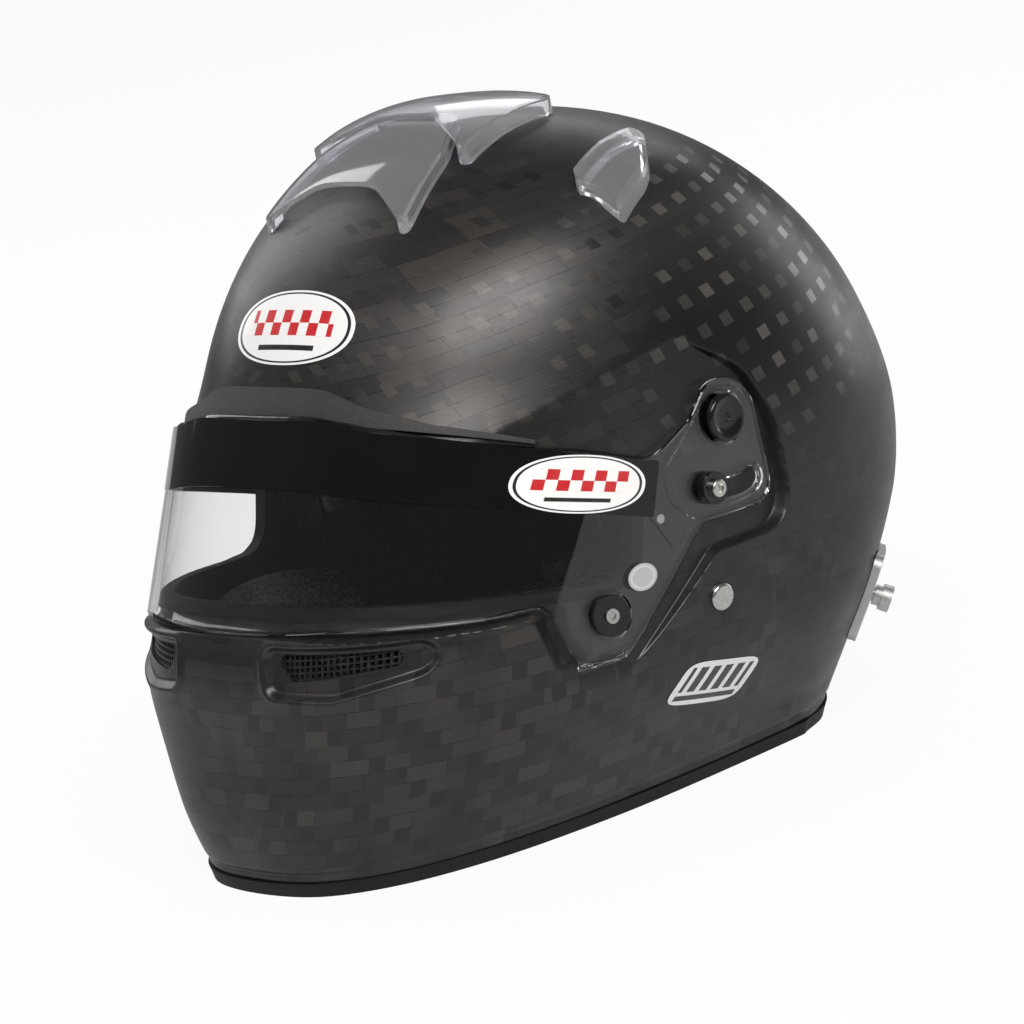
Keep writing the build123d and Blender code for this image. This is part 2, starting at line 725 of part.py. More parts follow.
def make_anchor():
    """Tether anchor: plate, post and inner washer."""
    rounded = anchor_plane * RectangleRounded(anchor_plate_width, anchor_plate_height, anchor_plate_round)
    column = extrude(rounded, amount=3 * anchor_plate_thickness, dir=anchor_plane.z_dir, both=True)
    plate = (dome(-anchor_plate_thickness) - dome(-seat_clearance / 2)) & column
    foot = anchor_plate_thickness + seat_clearance
    hole = disc(anchor_plane, anchor_bolt_radius + screw_play, -big / 8, big / 8)
    plate = plate - hole
    plate = plate - disc(anchor_plane, anchor_neck_radius, foot, 2 * foot)
    end = -shell_wall - nut_drop - anchor_washer_height
    top = foot + anchor_neck_length + anchor_post_length
    post = disc(anchor_plane, anchor_bolt_radius, end, foot)
    post = post + disc(anchor_plane, anchor_neck_radius, foot, foot + anchor_neck_length)
    post = post + disc(anchor_plane, anchor_post_radius, foot + anchor_neck_length, top)
    post = post - hexagon(anchor_plane, anchor_post_radius * hex_socket_share, top - hex_socket_depth, top)
    washer = disc(anchor_plane, anchor_washer_radius, end, end + anchor_washer_height)
    washer = washer - disc(anchor_plane, anchor_bolt_radius, -big / 8, big / 8)
    return plate, post, washer


def make_scoop(shares, rise, mouth_shares):
    """A clear scoop: a roof over the dome with side walls that stop at its mouths."""
    top = dome(-rise)
    roof = top - dome(scoop_wall - rise)
    wall = top - dome(-scoop_seat_gap)
    outline = top_prism(shares)
    sides = outline - top_prism(shares, -scoop_side)
    for x_share, y_share, radius_share in mouth_shares:
        radius = radius_share * shell_height
        centre = Pos(x_share * shell_half_width, y_share * shell_reach, shell_height)
        sides = sides - centre * Cylinder(radius, 2 * shell_height)
    return (roof & outline) + (wall & sides)


def strap_plane():
    """The leaning plane that the strap lies in, with its origin on the rim plane."""
    rivet_y, rivet_z = place(rivet_shares)
    foot = Vector(0, rivet_y - strap_lean_share * shell_reach, 0)
    up = Vector(0, rivet_y, rivet_z) - foot
    sideways = Vector(1, 0, 0)
    return Plane(origin=foot, x_dir=sideways, z_dir=sideways.cross(up.normalized()))


def strap_height(plane, z):
    """How far up the leaning plane a height over the rim lies."""
    return z / plane.y_dir.Z


def make_strap(layer, end_x):
    """One strap from its rivet down the wall and across to end_x, as a layer of the buckle."""
    plane = strap_plane()
    points = []
    for share in strap_wall_shares:
        z = share * shell_height
        up = strap_height(plane, z)
        y = plane.origin.Y + up * plane.y_dir.Y
        wall = seat(inside, Vector(0, y, z), Vector(1, 0, 0))
        points.append((wall.origin.X - strap_wall_gap - strap_thickness / 2, up))
    turn_x, turn_z = strap_turn_shares
    points.append((turn_x * shell_half_width, strap_height(plane, turn_z * shell_height) + layer))
    middle = strap_height(plane, strap_middle_share * shell_height) + layer
    points.append((strap_level_share * shell_half_width, middle))
    points.append((end_x, middle))
    with BuildSketch(plane) as sketch:
        with BuildLine():
            FilletPolyline(*points, radius=strap_bends)
        trace(line_width=strap_thickness)
    band = extrude(sketch.sketch, amount=strap_width / 2, both=True)
    return band - disc(rivet_plane, rivet_shank_radius + screw_play, -big / 8, big / 8)


def make_rings():
    """Two D-rings side by side around both straps."""
    plane = strap_plane()
    ring_x = strap_ring_share * shell_half_width
    middle = strap_height(plane, strap_middle_share * shell_height)
    rings = []
    for step in (-1, 1):
        x = ring_x + step * (ring_rod + ring_gap) / 2
        face_plane = Plane(origin=plane.from_local_coords((x, middle, 0)), x_dir=plane.z_dir,
                           z_dir=plane.x_dir)
        outer = RectangleRounded(ring_inner_width + 2 * ring_rod, ring_inner_height + 2 * ring_rod,
                                 ring_corner + ring_rod)
        face = outer - RectangleRounded(ring_inner_width, ring_inner_height, ring_corner)
        rings.append(extrude(face_plane * face, amount=ring_rod / 2, both=True))
    return rings


save("shell_outer", make_shell())
save("rim_trim", make_rim_trim())
save("eyeport_gasket", make_gasket())
save("brow_trim", make_brow_trim())
save("visor_shield", make_visor())
save("sun_strip", make_strip())
save("crown_liner", make_crown_liner())
save("comfort_liner", make_comfort_liner())
save("chin_liner", make_chin_liner())
save("neck_pad", make_neck_pad())
save_pair("vent_mesh", make_vent_mesh())
save_pair("cheek_pad", make_cheek_pad())
for piece_name, piece in zip(("pivot_boss", "pivot_cap", "pivot_nut"), make_pivot()):
    save_pair(piece_name, piece)
for piece_name, piece in zip(("guide_bush", "guide_screw", "guide_nut"), make_guide()):
    save_pair(piece_name, piece)
for piece_name, piece in zip(("snap_stud", "stud_screw"), make_stud()):
    save_pair(piece_name, piece)
for piece_name, piece in zip(("latch_plate", "latch_screw"), make_latch()):
    save_pair(piece_name, piece)
for piece_name, piece in zip(("strap_rivet", "strap_washer"), make_rivet()):
    save_pair(piece_name, piece)
for piece_name, piece in zip(("anchor_plate", "anchor_post", "anchor_washer"), make_anchor()):
    save_pair(piece_name, piece)
strap_layer = (strap_thickness + strap_layer_gap) / 2
ring_middle = strap_ring_share * shell_half_width
save("chin_strap_left", make_strap(-strap_layer, ring_middle - strap_tail))
save("chin_strap_right", mirrored(make_strap(strap_layer, -ring_middle - strap_tail)))
for ring_name, ring in zip(("d_ring_inner", "d_ring_outer"), make_rings()):
    save(ring_name, ring)
save("top_scoop_front", make_scoop(front_scoop_shares, front_scoop_rise, front_scoop_mouth_shares))
save("top_scoop_rear", make_scoop(rear_scoop_shares, rear_scoop_rise, rear_scoop_mouth_shares))
save_pair("side_scoop", make_scoop(side_scoop_shares, side_scoop_rise, side_scoop_mouth_shares))
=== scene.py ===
# %% [markdown]
# # An auto racing helmet, dressed for the camera
# The CAD model already has every piece of the helmet in its right place: the
# shell, the hinged visor, the pads, the strap and the small hardware. This
# notebook loads that model as a fixed frame and gives each piece the surface
# that a maker would give it. Lengths are metres, +Z is up, -Y is the front of
# the helmet and +X is the wearer's left.

# %% Load the frame
import math

import bmesh
import bpy
import numpy as np
from mathutils import Matrix, Vector
from mathutils.geometry import delaunay_2d_cdt


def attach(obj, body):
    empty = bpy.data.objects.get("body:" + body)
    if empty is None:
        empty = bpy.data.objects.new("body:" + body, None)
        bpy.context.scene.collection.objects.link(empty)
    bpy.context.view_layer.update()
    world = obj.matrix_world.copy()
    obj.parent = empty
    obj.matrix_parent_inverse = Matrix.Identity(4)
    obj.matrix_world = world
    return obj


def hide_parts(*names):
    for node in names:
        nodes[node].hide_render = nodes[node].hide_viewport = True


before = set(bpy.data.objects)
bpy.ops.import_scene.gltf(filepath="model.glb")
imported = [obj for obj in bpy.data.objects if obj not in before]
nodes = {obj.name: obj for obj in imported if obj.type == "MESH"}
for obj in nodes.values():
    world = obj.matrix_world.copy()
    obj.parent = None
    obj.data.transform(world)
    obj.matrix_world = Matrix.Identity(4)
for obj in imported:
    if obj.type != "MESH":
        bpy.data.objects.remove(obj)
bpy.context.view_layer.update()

# %% [markdown]
# ## The camera
# The photograph was taken from the front left with a long lens, a little above
# the visor, and the helmet leans to one side in the picture. A camera could be
# aimed with a constraint, but a matrix built from three angles shows what each
# one does: azimuth walks around the helmet, elevation climbs, and roll leans
# the picture about the line of sight.

# %% Place the camera
def new_object(name, data):
    """An object in the scene around a mesh, a camera or a lamp."""
    made = bpy.data.objects.new(name, data)
    bpy.context.scene.collection.objects.link(made)
    return made


def outward(azimuth, elevation):
    """The direction from the helmet at an azimuth and an elevation. Azimuth starts
    ahead and goes to the wearer's left."""
    level = math.cos(elevation)
    return Vector((math.sin(azimuth) * level, -math.cos(azimuth) * level, math.sin(elevation)))


azimuth, elevation, roll = math.radians(49.05), math.radians(11.74), math.radians(-10.65)
distance = 1.9174
aim = Vector((0.0, -0.001, 0.130))

back = outward(azimuth, elevation)
level_right = Vector((math.cos(azimuth), math.sin(azimuth), 0.0))
level_up = back.cross(level_right)
right = math.cos(roll) * level_right + math.sin(roll) * level_up
up = math.cos(roll) * level_up - math.sin(roll) * level_right

camera_data = bpy.data.cameras.new("camera")
camera_data.sensor_width = 36.0
camera_data.lens = 165.5
camera_data.shift_x = 0.0063
camera_data.shift_y = -0.0537
camera_data.clip_end = 50.0
camera = new_object("camera", camera_data)
placed = Matrix((right, up, back)).transposed().to_4x4()
placed.translation = aim + distance * back
camera.matrix_world = placed
bpy.context.scene.camera = camera
bpy.context.scene.view_settings.view_transform = "Standard"
print("camera at", [round(v, 3) for v in placed.translation])

# %% [markdown]
# ## Materials
# Every finish is a small node graph. A helper wires common nodes, so each
# material reads as a recipe: where the pattern is measured, how it is cut up,
# and which colour, roughness and bump it drives. Patterns are measured on the
# piece's own UV map or its Object coordinates, so they stay put when the
# visor opens.

# %% Node helpers
def new_material(name):
    """A material with an empty graph, its shader and its output."""
    material = bpy.data.materials.new(name)
    material.use_nodes = True
    tree = material.node_tree
    tree.nodes.clear()
    shader = tree.nodes.new("ShaderNodeBsdfPrincipled")
    output = tree.nodes.new("ShaderNodeOutputMaterial")
    tree.links.new(shader.outputs["BSDF"], output.inputs["Surface"])
    return material, tree, shader


def fill(socket, value, tree):
    """Link a socket to another socket, or set its value."""
    if isinstance(value, bpy.types.NodeSocket):
        tree.links.new(value, socket)
    else:
        socket.default_value = value


def math_node(kind):
    """A function that adds Math nodes of one kind to a graph. It takes one number
    or two, and each further number meets the result of those before it."""
    def added(tree, result, *others):
        for other in others or [0.0]:
            node = tree.nodes.new("ShaderNodeMath")
            node.operation = kind
            fill(node.inputs[0], result, tree)
            fill(node.inputs[1], other, tree)
            result = node.outputs[0]
        return result
    return added


plus, minus, times, over = map(math_node, ("ADD", "SUBTRACT", "MULTIPLY", "DIVIDE"))
larger, under, raised, zigzag = map(math_node, ("MAXIMUM", "LESS_THAN", "POWER", "PINGPONG"))
magnitude, floored, fraction = map(math_node, ("ABSOLUTE", "FLOOR", "FRACT"))
sine, root = map(math_node, ("SINE", "SQRT"))


def ramp(tree, value, low, high, start=0.0, end=1.0):
    """Map Range with a smooth step from low to high."""
    node = tree.nodes.new("ShaderNodeMapRange")
    node.interpolation_type = "SMOOTHSTEP"
    for key, item in (("Value", value), ("From Min", low), ("From Max", high),
                      ("To Min", start), ("To Max", end)):
        fill(node.inputs[key], item, tree)
    return node.outputs[0]


def mix_colour(tree, share, first, second):
    """A colour between two colours."""
    node = tree.nodes.new("ShaderNodeMix")
    node.data_type = "RGBA"
    fill(node.inputs[0], share, tree)
    fill(node.inputs[6], first, tree)
    fill(node.inputs[7], second, tree)
    return node.outputs[2]


def noise(tree, where, scale, detail=2.0, roughness=0.5):
    """Soft noise of a scale per metre."""
    node = tree.nodes.new("ShaderNodeTexNoise")
    fill(node.inputs["Vector"], where, tree)
    node.inputs["Scale"].default_value = scale
    node.inputs["Detail"].default_value = detail
    node.inputs["Roughness"].default_value = roughness
    return node.outputs[0]


def object_place(tree):
    """Object coordinates, in metres."""
    return tree.nodes.new("ShaderNodeTexCoord").outputs["Object"]


def vector_node(tree, kind, first, second):
    """One Vector Math node with two vectors."""
    node = tree.nodes.new("ShaderNodeVectorMath")
    node.operation = kind
    fill(node.inputs[0], first, tree)
    fill(node.inputs[1], second, tree)
    return node


def set_shader(tree, shader, inputs):
    """Give each named input of the shader its number or its link."""
    for key, value in inputs.items():
        fill(shader.inputs[key], value, tree)


def bump(tree, shader, height, strength, depth):
    """Raise the shading by a height that runs from 0 to 1."""
    node = tree.nodes.new("ShaderNodeBump")
    node.inputs["Strength"].default_value = strength
    node.inputs["Distance"].default_value = depth
    fill(node.inputs["Height"], height, tree)
    tree.links.new(node.outputs[0], shader.inputs["Normal"])


def split(tree, vector):
    """The three parts of a vector."""
    node = tree.nodes.new("ShaderNodeSeparateXYZ")
    fill(node.inputs[0], vector, tree)
    return node.outputs[0], node.outputs[1], node.outputs[2]


def joined(tree, x, y, z):
    """A vector from three parts."""
    node = tree.nodes.new("ShaderNodeCombineXYZ")
    for socket, value in zip(node.inputs, (x, y, z)):
        fill(socket, value, tree)
    return node.outputs[0]


def laid_places(tree):
    """The two parts of the piece's own UV map, in metres along the piece."""
    uv_map = tree.nodes.new("ShaderNodeUVMap")
    uv_map.uv_map = "laid"
    return split(tree, uv_map.outputs[0])[:2]


def cell_random(tree, x, y, seed):
    """One random number for each whole-number cell."""
    node = tree.nodes.new("ShaderNodeTexWhiteNoise")
    node.noise_dimensions = "3D"
    tree.links.new(joined(tree, x, y, seed), node.inputs["Vector"])
    return node.outputs["Value"]


# %% [markdown]
# The shell is spread-tow carbon: flat ribbons laid in rows like bricks, with
# small squares where one ribbon dives under another. Ribbons that run round the
# helmet and ribbons that run up it shine in different directions, so the same
# square is lighter than its neighbours in one place and darker in another. An
# anisotropic shader does part of this once each square's tangent is turned, and
# painted glint and painted shade in the colour do the rest.
# The clear coat is satin, which spreads the highlight.

# %% Ribbons and squares
edge_blur = 0.012


def cells(tree, along, up, pitch, slide_by_row):
    """Cells of a pitch, in rows: whole parts of the places are the cell's number,
    and the rest says how far a point lies from the cell's middle, 0 to a half."""
    rows_up = over(tree, up, pitch[1])
    row, in_row = floored(tree, rows_up), fraction(tree, rows_up)
    moved = plus(tree, over(tree, along, pitch[0]), slide_by_row(row))
    column, in_column = floored(tree, moved), fraction(tree, moved)
    from_middle = [magnitude(tree, minus(tree, part, 0.5)) for part in (in_column, in_row)]
    return column, row, from_middle


def tow_pattern(tree, along, up, pitch, shift, square_half, seed):
    """Ribbons as rows, each row shifted by a share of the pitch. A centred
    rectangle of each cell is the square where one ribbon dives under another."""
    column, row, from_middle = cells(tree, along, up, pitch, lambda row: times(tree, row, shift))
    sides = [ramp(tree, far, half + edge_blur, half - edge_blur)
             for far, half in zip(from_middle, square_half)]
    return times(tree, *sides), cell_random(tree, column, row, seed)


def bricks(tree, along, up, pitch, seed):
    """Long blocks of ribbon: rows of one height, each row shifted at random, cut
    into blocks. Gives a random tone and the thin joints."""
    column, row, (far_along, far_up) = cells(
        tree, along, up, pitch, lambda row: times(tree, cell_random(tree, row, 0.0, seed), 5.0))
    joint = larger(tree, ramp(tree, far_along, 0.485, 0.50), ramp(tree, far_up, 0.455, 0.50))
    return cell_random(tree, column, row, seed + 1.0), joint


def choose(tree, share, first, second):
    """First where share is 0, second where it is 1."""
    return plus(tree, times(tree, first, minus(tree, 1.0, share)), times(tree, second, share))


# %% [markdown]
# On the dome the rows lean a little and their squares stand in a net. On the
# chin the ribbons are shorter, and their tones drift in upright columns. Both
# patterns are drawn everywhere, and the height decides which of them shows.

# %% Where the patterns lie
dome_lean = math.radians(9)
dome_net, dome_square_half = (0.0128, 0.0132), (0.21, 0.20)
chin_net, chin_square_half, chin_shift = (0.0300, 0.0064), (0.105, 0.50), 0.29
dome_brick_size, chin_brick_size = (0.0190, 0.0066), (0.0160, 0.0064)
chin_column_width, warp_reach = 0.039, 0.006
chin_top, chin_fade = 0.101, 0.009

carbon, tree, shader = new_material("satin_carbon")
u, v = laid_places(tree)
place = object_place(tree)
x, y, z = split(tree, place)
warp = times(tree, minus(tree, noise(tree, place, 16.0, 1.0), 0.5), warp_reach)
lean_cos, lean_sin = math.cos(dome_lean), math.sin(dome_lean)
dome_u = plus(tree, times(tree, u, lean_cos), times(tree, v, lean_sin), warp)
dome_v = plus(tree, minus(tree, times(tree, v, lean_cos), times(tree, u, lean_sin)), warp)
dome_square, dome_luck = tow_pattern(tree, dome_u, dome_v, dome_net, 0.0, dome_square_half, 1.0)
chin_square, chin_luck = tow_pattern(tree, u, v, chin_net, chin_shift, chin_square_half, 7.0)
dome_brick, dome_joint = bricks(tree, dome_u, dome_v, dome_brick_size, 3.0)
chin_brick, chin_joint = bricks(tree, u, v, chin_brick_size, 5.0)
is_chin = ramp(tree, z, chin_top, chin_top - chin_fade)
is_dome = minus(tree, 1.0, is_chin)
column_wave = sine(tree, times(tree, u, 2 * math.pi / chin_column_width))
wander = plus(tree, noise(tree, place, 13.0, 2.0), times(tree, column_wave, is_chin, 0.09))
square_luck = choose(tree, is_chin, dome_luck, chin_luck)
square = times(tree, choose(tree, is_chin, dome_square, chin_square), ramp(tree, square_luck, 0.04, 0.10))
brick = choose(tree, is_chin, dome_brick, chin_brick)
joint = choose(tree, is_chin, dome_joint, chin_joint)
print("carbon patterns", len(tree.nodes), "nodes")

# %% [markdown]
# The tones carry painted light. Around one spot on each side of the dome the
# squares are a painted glint over a ground darkened as painted shade. Away from
# it the squares are faint, painted a little lighter than the ribbons low down and
# darker than them high up.

# %% Tones of the carbon, with painted glint and shade
# Painted light in the carbon's colour: a painted glint of bright squares round this spot on each side,
# painted shade on the ground round it, and squares painted lighter low down and darker high up.
painted_glint_centre = (0.104, 0.044, 0.202)
ground_tones = (0.030, 0.0286, 0.0305, 1), (0.053, 0.0480, 0.044, 1)
painted_glint_tones = (0.052, 0.049, 0.045, 1), (0.120, 0.112, 0.102, 1)
painted_height_tones = (0.056, 0.0515, 0.0465, 1), (0.019, 0.0187, 0.0187, 1)
chin_square_tone, painted_shade_tone = (0.024, 0.0235, 0.027, 1), (0.014, 0.0138, 0.014, 1)
joint_tone = (0.008, 0.008, 0.008, 1)

ground = times(tree, ramp(tree, brick, 0.2, 0.95), ramp(tree, wander, 0.36, 0.60))
away = vector_node(tree, "DISTANCE", joined(tree, magnitude(tree, x), y, z), painted_glint_centre).outputs["Value"]
# Painted glint: squares close to the glint centre are coloured bright.
painted_glint_mask = ramp(tree, away, 0.074, 0.036)
# Painted shade: the dome's ground is darkened round the glint centre.
painted_shade_share = times(tree, ramp(tree, away, 0.100, 0.045), is_dome)
tone = mix_colour(tree, painted_shade_share, mix_colour(tree, ground, *ground_tones), painted_shade_tone)
painted_glint_square = mix_colour(tree, ramp(tree, square_luck, 0.1, 0.9), *painted_glint_tones)
# Painted light by height: away from the glint, squares are coloured lighter low down and darker high up.
painted_height_square = mix_colour(tree, ramp(tree, z, 0.215, 0.245), *painted_height_tones)
dome_square_tone = mix_colour(tree, painted_glint_mask, painted_height_square, painted_glint_square)
square_tone = mix_colour(tree, is_chin, dome_square_tone, chin_square_tone)
faint = times(tree, ramp(tree, square_luck, 0.15, 0.90, 0.10, 1.00), ramp(tree, z, 0.110, 0.165, 0.30, 1.0))
tone = mix_colour(tree, times(tree, square, larger(tree, painted_glint_mask, is_chin, faint)), tone, square_tone)
worn = ramp(tree, noise(tree, place, 90.0, 2.0), 0.36, 0.58, 0.15, 0.95)
tone = mix_colour(tree, times(tree, joint, worn, minus(tree, 1.0, square)), tone, joint_tone)

# %% Shine of the carbon
fine = noise(tree, place, 900.0, 3.0)
set_shader(tree, shader, {
    "Base Color": tone, "Metallic": 0.55, "Anisotropic": 0.75, "Coat Weight": 0.30, "Coat Roughness": 0.28,
    "Roughness": ramp(tree, plus(tree, fine, times(tree, brick, 0.3)), 0.3, 1.0, 0.36, 0.46)})
ribbon_way = tree.nodes.new("ShaderNodeTangent")
ribbon_way.direction_type, ribbon_way.uv_map = "UV_MAP", "laid"
surface = tree.nodes.new("ShaderNodeNewGeometry")
crossing = vector_node(tree, "CROSS_PRODUCT", surface.outputs["Normal"], ribbon_way.outputs[0])
turned_way = tree.nodes.new("ShaderNodeMix")
turned_way.data_type = "VECTOR"
fill(turned_way.inputs[0], times(tree, square, ramp(tree, away, 0.085, 0.050)), tree)
fill(turned_way.inputs[4], ribbon_way.outputs[0], tree)
fill(turned_way.inputs[5], crossing.outputs[0], tree)
set_shader(tree, shader, {"Tangent": turned_way.outputs[1]})
bump(tree, shader, plus(tree, times(tree, joint, -0.5), times(tree, fine, 0.2)), 0.2, 0.00015)
print("carbon", len(tree.nodes), "nodes")

# %% [markdown]
# The other finishes are quieter. Rubber is dark and rough with a fine grain,
# moulded plastic has a slight orange peel, satin metal has a bead-blasted grain
# and foam is speckled. One recipe takes the colour, its lighter mate and the
# grain size, and makes all of them.

# %% Plain finishes
def grained(name, dark, light, grain, roughness, metallic=0.0, rise=0.2, depth=0.0002,
            spread=0.1, shine=0.5):
    """A finish whose colour drifts between two colours with a grain of noise that
    also lifts the surface and varies its roughness."""
    material, tree, shader = new_material(name)
    place = object_place(tree)
    speck = noise(tree, place, grain, 3.0, 0.6)
    patch = noise(tree, place, 22.0, 2.0)
    mixed = plus(tree, times(tree, speck, 0.6), times(tree, patch, 0.4))
    set_shader(tree, shader, {
        "Base Color": mix_colour(tree, ramp(tree, mixed, 0.35, 0.65), (*dark, 1), (*light, 1)),
        "Roughness": ramp(tree, mixed, 0.3, 0.7, roughness - spread / 2, roughness + spread / 2),
        "Metallic": metallic, "Specular IOR Level": shine})
    bump(tree, shader, speck, rise, depth)
    return material


rubber = grained("black_rubber", (0.008, 0.008, 0.008), (0.016, 0.016, 0.016), 1400, 0.60, shine=0.25)
plastic = grained("moulded_plastic", (0.004, 0.004, 0.005), (0.008, 0.008, 0.009), 700, 0.17,
                  depth=0.00008)
brow_satin = grained("brow_satin", (0.034, 0.032, 0.030), (0.050, 0.048, 0.046), 900, 0.50)
foam = grained("black_foam", (0.012, 0.012, 0.012), (0.030, 0.029, 0.028), 420, 0.85, rise=0.6,
               depth=0.0006, shine=0.1)
steel = grained("bright_steel", (0.52, 0.51, 0.49), (0.66, 0.65, 0.63), 800, 0.24, 1.0, 0.1)
blasted = grained("blasted_metal", (0.50, 0.50, 0.50), (0.62, 0.62, 0.62), 1800, 0.44, 1.0, 0.35)
dark_wire = grained("dark_wire", (0.030, 0.030, 0.030), (0.080, 0.080, 0.080), 600, 0.45, 0.8, 0.3)
fleece = grained("brushed_fleece", (0.030, 0.029, 0.029), (0.170, 0.164, 0.160), 620, 0.95, rise=0.9,
                 depth=0.0012, shine=0.1)
webbing = grained("webbing", (0.010, 0.010, 0.010), (0.022, 0.022, 0.022), 900, 0.75, rise=0.5,
                  depth=0.0004, shine=0.2)
film = grained("gloss_film", (0.0020, 0.0020, 0.0022), (0.0032, 0.0032, 0.0034), 40, 0.06, rise=0.01,
               spread=0.02)
laminate = grained("inner_laminate", (0.008, 0.008, 0.008), (0.016, 0.016, 0.016), 260, 0.65, shine=0.2)


# %% [markdown]
# The visor and the scoops are clear polycarbonate. Real transmission lets the
# light bend at both faces, which gives the bright edges that the photograph
# shows. The scoops are hazier than the visor, so a share of the light scatters
# in them. A trace of noise in the colour keeps either from looking like air.

# %% Clear plastics
def clear_plastic(name, tint, darker, roughness, through=1.0):
    """A transmitting plastic whose tint wanders slightly over the sheet. Through is
    the share of the light that passes, and the rest is scattered."""
    material, tree, shader = new_material(name)
    wander = noise(tree, object_place(tree), 30.0)
    set_shader(tree, shader, {
        "Base Color": mix_colour(tree, wander, (*tint, 1), (*darker, 1)), "Roughness": roughness,
        "IOR": refraction, "Transmission Weight": through})
    return material


refraction = 1.45
clear = clear_plastic("clear_polycarbonate", (0.99, 0.995, 1.0), (0.97, 0.98, 0.99), 0.0)
smoked = clear_plastic("hazy_plastic", (0.93, 0.92, 0.96), (0.87, 0.86, 0.91), 0.05, 0.90)
print("finishes", len(bpy.data.materials))

# %% [markdown]
# ## Dress the CAD pieces
# Where the CAD shape is right, the node keeps it and only gets a finish. Its
# material slot already exists, so assigning to the slot is enough.

# %% Finishes for the nodes
node_finish = {
    "rim_trim": rubber, "eyeport_gasket": rubber, "brow_trim": brow_satin, "visor_shield": clear,
    "sun_strip": film, "crown_liner": foam, "comfort_liner": fleece, "chin_liner": foam,
    "neck_pad": fleece, "vent_mesh": dark_wire, "cheek_pad": fleece, "pivot_boss": plastic,
    "pivot_cap": plastic, "pivot_nut": steel, "guide_bush": plastic, "guide_screw": steel,
    "guide_nut": steel, "snap_stud": plastic, "stud_screw": steel, "latch_plate": plastic,
    "latch_screw": steel, "strap_rivet": steel, "strap_washer": steel, "anchor_plate": blasted,
    "anchor_post": blasted, "anchor_washer": steel, "chin_strap": webbing, "d_ring": steel,
    "top_scoop": smoked, "side_scoop": smoked, "shell_outer": laminate}
for node_name, node in nodes.items():
    finish = node_finish[max((key for key in node_finish if node_name.startswith(key)), key=len)]
    node.data.materials.clear()
    node.data.materials.append(finish)
print("finished nodes", len(nodes))

# %% [markdown]
# ## One surface for the whole shell
# The real shell is laid up over a mould, so it is a single flowing surface. It
# could be sculpted, but a formula is easier to reuse: a stack of level outlines
# from the rim to the crown, each made of two rounded halves, with smooth curves
# through their sizes. Every later piece that touches the shell asks the same
# formula where the surface is.

# %% Rows of the shell
shell_height, shell_half_width, shell_reach, shell_wall = 0.272, 0.1255, 0.171, 0.003
rear_power, widest_share, widest_level = 2.08, 0.254, 0.440
shell_rows = np.array([
    (0.000, 0.680, 0.973, 0.623, 2.70), (0.055, 0.740, 0.992, 0.683, 2.70),
    (0.110, 0.806, 1.000, 0.735, 2.70), (0.165, 0.878, 0.991, 0.776, 2.70),
    (0.220, 0.939, 0.982, 0.823, 2.70), (0.276, 0.972, 0.983, 0.890, 2.64),
    (0.330, 0.987, 0.972, 0.953, 2.58), (0.386, 0.995, 0.942, 0.987, 2.52),
    (0.440, 1.000, 0.891, 1.000, 2.46), (0.588, 0.976, 0.760, 0.962, 2.32),
    (0.662, 0.943, 0.687, 0.914, 2.26), (0.722, 0.900, 0.639, 0.858, 2.24),
    (0.837, 0.773, 0.509, 0.693, 2.24), (0.926, 0.596, 0.337, 0.481, 2.24),
    (0.981, 0.363, 0.156, 0.239, 2.24), (0.995, 0.229, 0.076, 0.123, 2.24)])


def smooth_curve(stations, values):
    """A natural cubic spline through values at stations, as a function of the station."""
    gaps = np.diff(stations)
    count = len(stations)
    system = np.eye(count)
    target = np.zeros((count,) + values.shape[1:])
    inner = np.arange(1, count - 1)
    system[inner, inner - 1] = gaps[:-1]
    system[inner, inner] = 2 * (gaps[:-1] + gaps[1:])
    system[inner, inner + 1] = gaps[1:]
    slopes = np.diff(values, axis=0) / gaps[:, None]
    target[inner] = 6 * (slopes[1:] - slopes[:-1])
    bends = np.linalg.solve(system, target)

    def curve(where):
        where = np.asarray(where, float)
        i = np.clip(np.searchsorted(stations, where) - 1, 0, count - 2)
        h = gaps[i][..., None]
        a = (stations[i + 1] - where)[..., None] / h
        b = 1 - a
        return (a * values[i] + b * values[i + 1]
                + ((a ** 3 - a) * bends[i] + (b ** 3 - b) * bends[i + 1]) * h * h / 6)
    return curve


level, wide, front, rear, power = shell_rows.T
climb = np.clip((level - widest_level) / (1 - widest_level), 0, 1)
centre = widest_share + climb * ((rear - front) / 2 - widest_share)
rows = np.column_stack([
    level * shell_height, wide * shell_half_width, (front + centre) * shell_reach,
    (rear - centre) * shell_reach, centre * shell_reach, power])
crown_y = (rear[-1] - front[-1]) / 2 * shell_reach
rows = np.vstack([rows, [shell_height, 0, 0, 0, crown_y, power[-1]]])
ghosts = rows[-2:-5:-1] * [1, -1, -1, -1, 1, 1]
all_rows = np.vstack([rows, ghosts])
steps = np.hypot(np.diff(all_rows[:, 0]), np.diff(all_rows[:, 1] + all_rows[:, 2]) / 2)
row_stations = np.concatenate([[0], np.cumsum(steps)])
crown_station = row_stations[len(rows) - 1]
shell_curve = smooth_curve(row_stations, all_rows)
print("from rim to crown", round(crown_station, 4), "m along the wall")


def signed_power(value, exponent):
    """The size of a value raised to an exponent, with the value's sign."""
    return np.sign(value) * np.abs(value) ** exponent


def shell_point(station, angle):
    """The shell's surface. Station is the way up from the rim and angle goes round
    from the wearer's left. Each level is a superellipse: half width and reach times
    the cosine and sine raised to 2 over the corner power."""
    z, half, ahead, behind, mid, corner = np.moveaxis(shell_curve(station), -1, 0)
    c, s = np.cos(angle), np.sin(angle)
    exponent = np.where(s > 0, 2 / rear_power, 2 / corner)
    reach = np.where(s > 0, behind, ahead)
    x = half * signed_power(c, exponent)
    y = mid + reach * signed_power(s, exponent)
    return np.stack([x, y, z], axis=-1)


# %% [markdown]
# The visor runs on its own surface, a straight front line with nearly flat
# sides, and a recess in the shell follows it 5 mm further in. The same kind of
# level outline describes it. Because every level is a superellipse about one
# centre, the distance to it along any direction has a closed formula.

